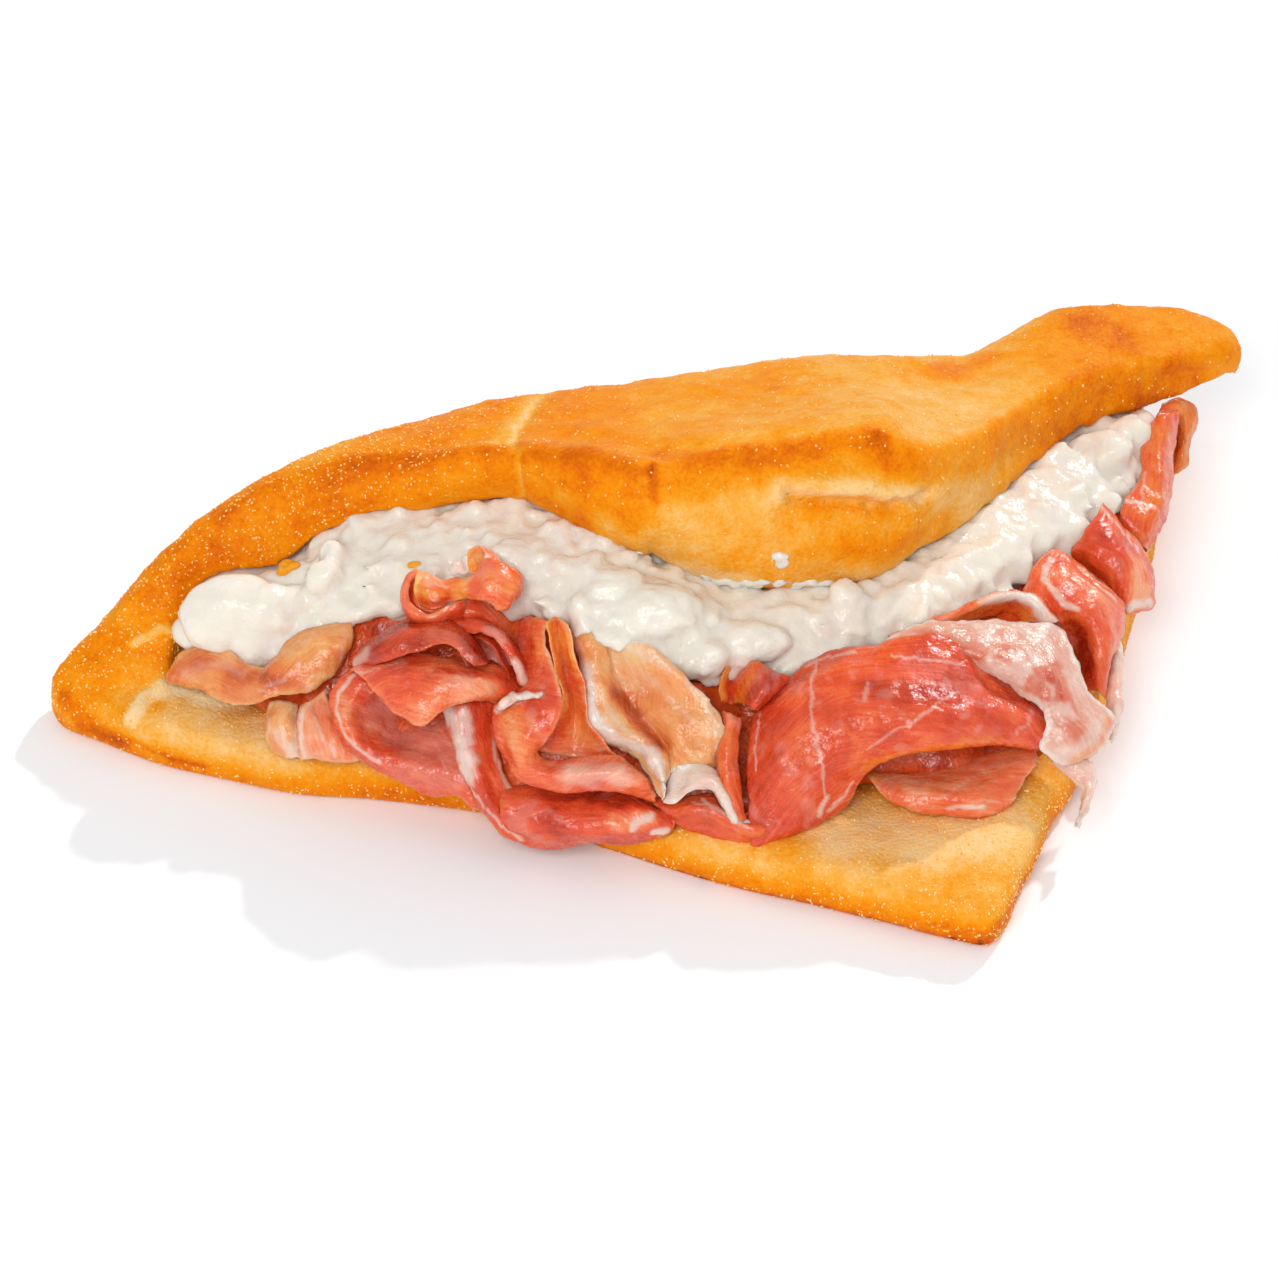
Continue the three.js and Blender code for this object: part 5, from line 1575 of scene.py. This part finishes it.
# %% Fat and tone of the slices
# White seams and streaks of fat, and on a few slices painted highlights
FAT_SEAMS_AND_HIGHLIGHTS = {
    # In hollow_left the wide patch from (385, 715) is a painted highlight of its wet hollow
    "hollow_left": [([(352, 672), (338, 690), (333, 707), (340, 735), (360, 755), (378, 766)], 1.1, 0.65),
                    ([(385, 715), (410, 735), (445, 745)], 15, 0.2), ([(400, 775), (450, 780)], 8, 0.15),
                    ([(434, 742), (442, 756), (448, 770)], 0.8, 0.35),
                    ([(440, 755), (462, 762)], 0.7, 0.3)],
    # In ribbon the wide patch from (572, 775) is a painted highlight
    "ribbon": [([(496, 708), (505, 702), (518, 698), (530, 692), (540, 692)], 2.0, 0.9),
               ([(572, 775), (598, 769), (618, 773)], 8, 0.4)],
    # In fold_low the patch from (430, 632) is a painted highlight
    "fold_low": [([(430, 632), (452, 634), (466, 646)], 4, 0.15), ([(352, 660), (362, 650)], 3, 0.5)],
    "fold_high": [([(518, 662), (526, 676), (531, 686)], 3, 0.7), ([(486, 627), (502, 637)], 3, 0.3)],
    # In fold_hollow the patch is a painted sheen
    "fold_hollow": [([(486, 650), (506, 664)], 6, 0.3)],
    "pale_fat": [([(612, 640), (640, 654), (668, 668)], 3, 0.35), ([(640, 672), (692, 722)], 1.2, 0.3),
                 ([(600, 690), (622, 724), (652, 750)], 1.4, 0.4),
                 ([(690, 684), (712, 706), (720, 730)], 2, 0.4),
                 ([(570, 640), (581, 668), (588, 700), (593, 725), (607, 740), (630, 747), (648, 752),
                   (656, 770), (662, 795)], 3.8, 1)],
    "front_strand": [([(447, 712), (455, 742), (464, 778)], 6, 0.95), ([(468, 710), (472, 740)], 3, 0.8),
                     ([(466, 785), (480, 806), (500, 828), (520, 843)], 1.0, 0.7),
                     ([(496, 725), (498, 755), (508, 780), (522, 806)], 1.2, 0.7)],
    "centre_band": [([(690, 800), (712, 802), (735, 813)], 1.2, 0.6),
                    ([(700, 796), (728, 812), (745, 824)], 1.0, 0.8)],
    "big_right": [([(816, 655), (812, 690), (808, 715), (816, 745), (825, 775), (829, 800)], 0.9, 0.5),
                  ([(831, 812), (845, 800), (855, 785)], 1.2, 0.6), ([(822, 818), (829, 798)], 1.6, 0.7),
                  ([(806, 662), (822, 655), (850, 650)], 1.4, 0.6),
                  ([(870, 752), (890, 738), (930, 708), (960, 688)], 0.8, 0.4),
                  ([(890, 653), (930, 657), (960, 662)], 0.9, 0.5), ([(864, 698), (868, 680)], 1.2, 0.4),
                  ([(1020, 735), (1030, 720), (1036, 704)], 1.0, 0.35),
                  ([(757, 712), (753, 740), (752, 770)], 0.6, 0.5)],
    "right_mid": [([(1054, 556), (1044, 565), (1044, 576), (1056, 588), (1066, 602), (1078, 612)],
                   1.8, 0.8),
                  ([(1097, 580), (1118, 597)], 1.6, 0.8)],
    "right_fold": [([(1103, 503), (1122, 526), (1140, 548)], 1.3, 0.7),
                   ([(1128, 612), (1154, 603)], 3, 0.9)],
    "right_arch": [([(985, 597), (1005, 596), (1025, 598), (1042, 608), (1052, 626)], 5, 1),
                   ([(940, 618), (975, 606)], 1.2, 0.4)],
    "right_back": [([(1122, 498), (1145, 499)], 1.6, 0.8), ([(1142, 470), (1146, 500)], 1.0, 0.6)],
    "under_lip": [([(945, 811), (985, 809)], 1.2, 0.7), ([(940, 795), (965, 780), (990, 766)], 0.7, 0.4)],
    "fan_mid": [([(300, 708), (297, 730), (301, 757)], 1.4, 0.8),
                ([(311, 700), (320, 724), (330, 748), (336, 761)], 0.8, 0.6)],
    # In fan_back the patch from (276, 738) is a painted glint
    "fan_back": [([(300, 716), (298, 735), (300, 755)], 1.6, 0.7), ([(266, 715), (266, 732)], 1.2, 0.6),
                 ([(276, 738), (286, 748), (296, 752)], 4, 0.7)],
    "curl_flap": [([(420, 578), (426, 586), (444, 589)], 1.3, 0.9)],
    "curl_tube": [([(484, 553), (485, 562), (482, 571)], 1.6, 0.9)],
    "flap_left": [([(352, 674), (372, 666), (395, 660)], 0.8, 0.4)],
    "low_front": [([(634, 833), (642, 820), (656, 812)], 2.2, 0.8), ([(655, 836), (668, 834)], 2, 0.9)],
    "small_roll": [([(744, 684), (750, 664)], 1.0, 0.6)],
    "left_twist": [([(255, 690), (275, 683), (293, 672), (300, 660)], 0.8, 0.35),
                   ([(262, 668), (285, 648), (312, 634)], 1.0, 0.35),
                   ([(346, 622), (344, 645), (345, 662)], 1.6, 0.45),
                   ([(180, 672), (215, 660), (240, 672)], 2.5, 0.2)],
}
# Painted shade, below 0, in hollows, folds and under edges, and painted light, above 0, on lit
# places; on fat_flap the darker marks are its pink patches of lean
SHADES = {
    "left_twist": [([(175, 665), (205, 655), (235, 668)], 9, -0.14), ([(225, 680), (262, 688)], 9, -0.1),
                   ([(290, 650), (335, 630)], 12, 0.24), ([(250, 672), (270, 680), (300, 690)], 5, -0.22)],
    "hollow_left": [([(378, 700), (395, 725), (402, 735)], 9, -0.2), ([(338, 700), (345, 735)], 7, 0.25)],
    "flap_left": [([(420, 700), (450, 690), (490, 686)], 10, 0.2),
                  ([(440, 666), (500, 676), (520, 684)], 5, -0.25)],
    "ribbon": [([(505, 715), (512, 740), (520, 760)], 8, 0.2), ([(528, 704), (540, 718)], 5, -0.2),
               ([(545, 625), (556, 665), (563, 700)], 3, 0.2),
               ([(560, 772), (600, 768), (640, 780)], 5, 0.15)],
    "pale_fat": [([(618, 690), (636, 716), (662, 742)], 7, -0.5), ([(570, 640), (580, 665)], 4, -0.15)],
    "right_mid": [([(1075, 630), (1085, 670)], 9, -0.35)],
    "right_fold": [([(1075, 560), (1100, 578)], 7, -0.3), ([(1092, 530), (1105, 555)], 10, -0.1),
                   ([(1140, 565), (1145, 595)], 10, 0.35)],
    "big_right": [([(870, 690), (930, 690), (960, 680)], 13, -0.2), ([(830, 664), (900, 654)], 6, 0.1)],
    "under_lip": [([(880, 766), (930, 758)], 9, -0.2), ([(960, 755), (1020, 750)], 8, -0.1)],
    "small_roll": [([(726, 690), (734, 668)], 5, 0.4), ([(745, 700), (770, 680)], 8, -0.15)],
    "right_arch": [([(970, 613), (1018, 612)], 8, -0.1)],
    "fat_flap": [([(1010, 650), (1030, 668), (1050, 690)], 13, -0.3),
                 ([(1058, 664), (1070, 700)], 8, -0.3),
                 ([(1070, 715), (1085, 735)], 9, -0.25), ([(920, 638), (975, 655)], 8, -0.3),
                 ([(1040, 650), (1052, 676)], 4, -0.3), ([(1100, 725), (1080, 755)], 6, 0.2)],
    "curl_flap": [([(420, 607), (432, 611), (448, 606)], 7, -0.5), ([(495, 585), (512, 590)], 5, 0.1),
                  ([(470, 592), (490, 600)], 6, -0.15)],
    "curl_tube": [([(470, 560), (480, 556)], 5, 0.2)],
    "low_front": [([(590, 797), (620, 800)], 6, -0.2), ([(620, 820), (650, 815)], 8, 0.35)],
    "ribbon_lining": [([(545, 748), (565, 728)], 9, -0.25), ([(560, 625), (575, 655)], 5, 0.3)],
}
# Painted glow where light would come through the slice and turn it orange; on some slices it
# also makes the lean itself oranger
PAINTED_GLOWS = {
    "curl_flap": [([(414, 580), (420, 598), (430, 606)], 11, 1.0), ([(440, 590), (460, 586)], 7, 0.5),
                  ([(432, 602), (446, 602), (460, 596)], 8, 0.8), ([(495, 575), (510, 585)], 12, 0.4)],
    "curl_tube": [([(471, 552), (478, 565)], 7, 0.9)],
    "small_roll": [([(723, 694), (729, 676), (740, 662)], 9, 1.0),
                   ([(737, 698), (741, 682), (748, 668)], 9, 1.0)],
    "ribbon_lining": [([(550, 622), (560, 640), (566, 660)], 11, 0.9),
                      ([(564, 690), (580, 730)], 13, 0.6)],
    "right_arch": [([(960, 620), (990, 613), (1020, 616)], 9, 0.8)],
    "left_twist": [([(282, 655), (315, 640), (340, 628)], 18, 0.5), ([(175, 672), (235, 692)], 14, 0.2)],
    "fan_back": [([(272, 712), (280, 735)], 9, 0.3)],
    "ribbon": [([(530, 620), (536, 650)], 7, 0.4), ([(508, 715), (524, 745)], 15, 0.3)],
    "under_lip": [([(870, 768), (900, 764), (935, 757)], 12, 0.9), ([(960, 752), (1020, 748)], 8, 0.3)],
    "right_fold": [([(1075, 560), (1100, 578)], 8, 0.6)],
    "right_mid": [([(1075, 625), (1082, 670)], 9, 0.6)],
    "pale_fat": [([(568, 632), (580, 655)], 9, 0.6), ([(640, 700), (690, 740)], 16, 0.2)],
    "fat_flap": [([(1112, 722), (1100, 748), (1078, 765)], 6, 0.55)],
    "upright": [([(724, 735), (728, 790)], 8, 0.5)],
    "right_curl": [([(1182, 412), (1190, 436), (1182, 465)], 14, 0.85)],
    "right_back": [([(1155, 430), (1160, 480), (1150, 520)], 14, 0.6)],
    "centre_band": [([(680, 808), (730, 825), (770, 828)], 12, 0.3)],
    "fold_low": [([(400, 640), (440, 632), (470, 650)], 10, 0.5)],
    "big_right": [([(868, 768), (900, 760), (940, 752), (1000, 745)], 6, 0.9),
                  ([(780, 750), (850, 710), (900, 690)], 22, 0.16)],
}
# Places where the slice is dry and has no gloss
DRY = {
    "big_right": [([(880, 672), (920, 664), (955, 672), (975, 690)], 16, 1.0),
                  ([(890, 700), (940, 700)], 12, 0.5)],
}
# Rims of fat and their width in mm
RIMS = {"fat_fold": 3.0, "pale_fat": 0.4, "lobe_rim": 3.0, "fat_flap": 2.0, "fat_bit": 2.0}
RIM_FAT = 0.9
WANDER = 0.5
# Where a cloud turns to patches of fat, from none to most, and how fat they are
PATCHES = {"fat": (-0.1, 0.5, 0.75), "ham": (0.3, 0.6, 0.15), "tan": (0.3, 0.6, 0.15)}
PATCH_MM = 8
# Painted light on cut edges, where a thin slice would let light through
EDGE_LIGHT = 0.15
TONE_WAVES = [(10, 0.14)]
# How light the lean of each slice is; fold_low and fold_hollow are set dark as painted shade of
# their folds, and under_lip light as painted light in the shade under the bulge
TONES = {
    "low_front": 0.46, "front_strand": 0.5, "ribbon": 0.6, "fat_fold": 0.9, "pale_fat": 0.64,
    "centre_band": 0.56, "big_right": 0.5, "small_roll": 0.46, "fat_flap": 0.62, "under_lip": 0.76,
    "fat_tail": 0.85, "right_arch": 0.68, "right_mid": 0.64, "back_strip": 0.8, "right_fold": 0.58,
    "right_back": 0.6, "right_curl": 0.64, "flap_left": 0.62, "hollow_left": 0.54, "fan_mid": 0.9,
    "fan_back": 0.66, "fold_low": 0.28, "fold_high": 0.42, "curl_rim": 0.62, "curl_flap": 0.7,
    "left_twist": 0.48, "curl_tube": 0.84, "curl_band": 0.62, "fat_bit": 0.85, "fold_hollow": 0.4,
    "ribbon_lining": 0.72, "upright": 0.6, "lobe_rim": 0.9,
}
STANDS_FOR = {"ribbon": ["ham_ribbon_neck", "ham_ribbon_lobe", "ham_ribbon_foot"]}
EXTRA_SEED = 50
SLICE_APART_MM = 10.0


def twice(values):
    """The same numbers for the front and for the back of a slice."""
    return np.concatenate([values, values])


def fat_of(name, colour, grid, points, normals, seed):
    """How fat each point of a slice is, from its seams, rims and patches, with a few painted highlights.
    """
    wander = 1 + WANDER * clouds(points, 4, 2, seed + 20)
    fat = np.zeros(len(points))
    for stroke, width, strength in FAT_SEAMS_AND_HIGHLIGHTS.get(name, []):
        far = distance_to(points, laid_on(points, normals, stroke)) / (wander * width / 2)
        fat = np.maximum(fat, strength * step(1.3, 0.4, far))
    if name in RIMS:
        away = np.minimum.reduce([side_distance(side, grid) for side in SIDES]).ravel()
        fat = np.maximum(fat, RIM_FAT * step(1.3, 0.5, twice(away) / (wander * RIMS[name])))
    none, most, share = PATCHES[colour]
    patchy = share * step(none, most, clouds(points, PATCH_MM, 3, seed + 30))
    return np.clip(np.maximum(fat, patchy), 0, 1)


def tone_of(name, grid, points, normals, seed):
    """How light the lean is: its own tone, painted light at cut edges, and painted shade and light from
    its marks.
    """
    cut = [side_distance(side, grid).ravel() for side in cut_sides(name)]
    edge = step(1.5, 0.2, np.minimum.reduce(cut)) if cut else np.zeros(len(points) // 2)
    tone = TONES[name] + layers(points, TONE_WAVES, 2, seed + 40) + EDGE_LIGHT * twice(edge)
    return tone + marks(points, normals, SHADES.get(name, []))


def make_slice(name, colour, rows, nodes, seed):
    """One slice with its folds, its crumples and what its material reads."""
    grid = sheet(placed(rows, nodes))
    for side, (radius, reach) in FOLDS.get(name, {}).items():
        grid = rolled(grid, side, radius, reach)
    grid = crumpled(grid, name, seed)
    obj = mesh_object("slice_" + name, *shell(grid))
    points, normals, _ = skin(obj)
    paint(obj, "fat", fat_of(name, colour, grid, points, normals, seed))
    paint(obj, "tone", tone_of(name, grid, points, normals, seed))
    for label, table in (("painted_glow", PAINTED_GLOWS), ("dry", DRY)):
        paint(obj, label, np.clip(marks(points, normals, table.get(name, [])), 0, 1))
    lie = np.stack([side_distance("start", grid), side_distance("first", grid),
                    np.full(grid.shape[:2], SLICE_APART_MM * seed)], axis=2)
    paint(obj, "lie", twice(lie.reshape(-1, 3)) * MM)
    material, slot = HAM[colour]
    dress(obj, material)
    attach(obj, "root")
    return obj


faces = 0
for seed, (name, (colour, rows)) in enumerate(SLICES.items()):
    nodes = STANDS_FOR.get(name, ["ham_" + name])
    piece = make_slice(name, colour, rows, nodes, seed)
    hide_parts(*nodes)
    faces += len(piece.data.polygons)
for seed, (name, (colour, rows, node)) in enumerate(EXTRAS.items(), EXTRA_SEED):
    faces += len(make_slice(name, colour, rows, [node], seed).data.polygons)
print("faces of all the slices together:", faces)
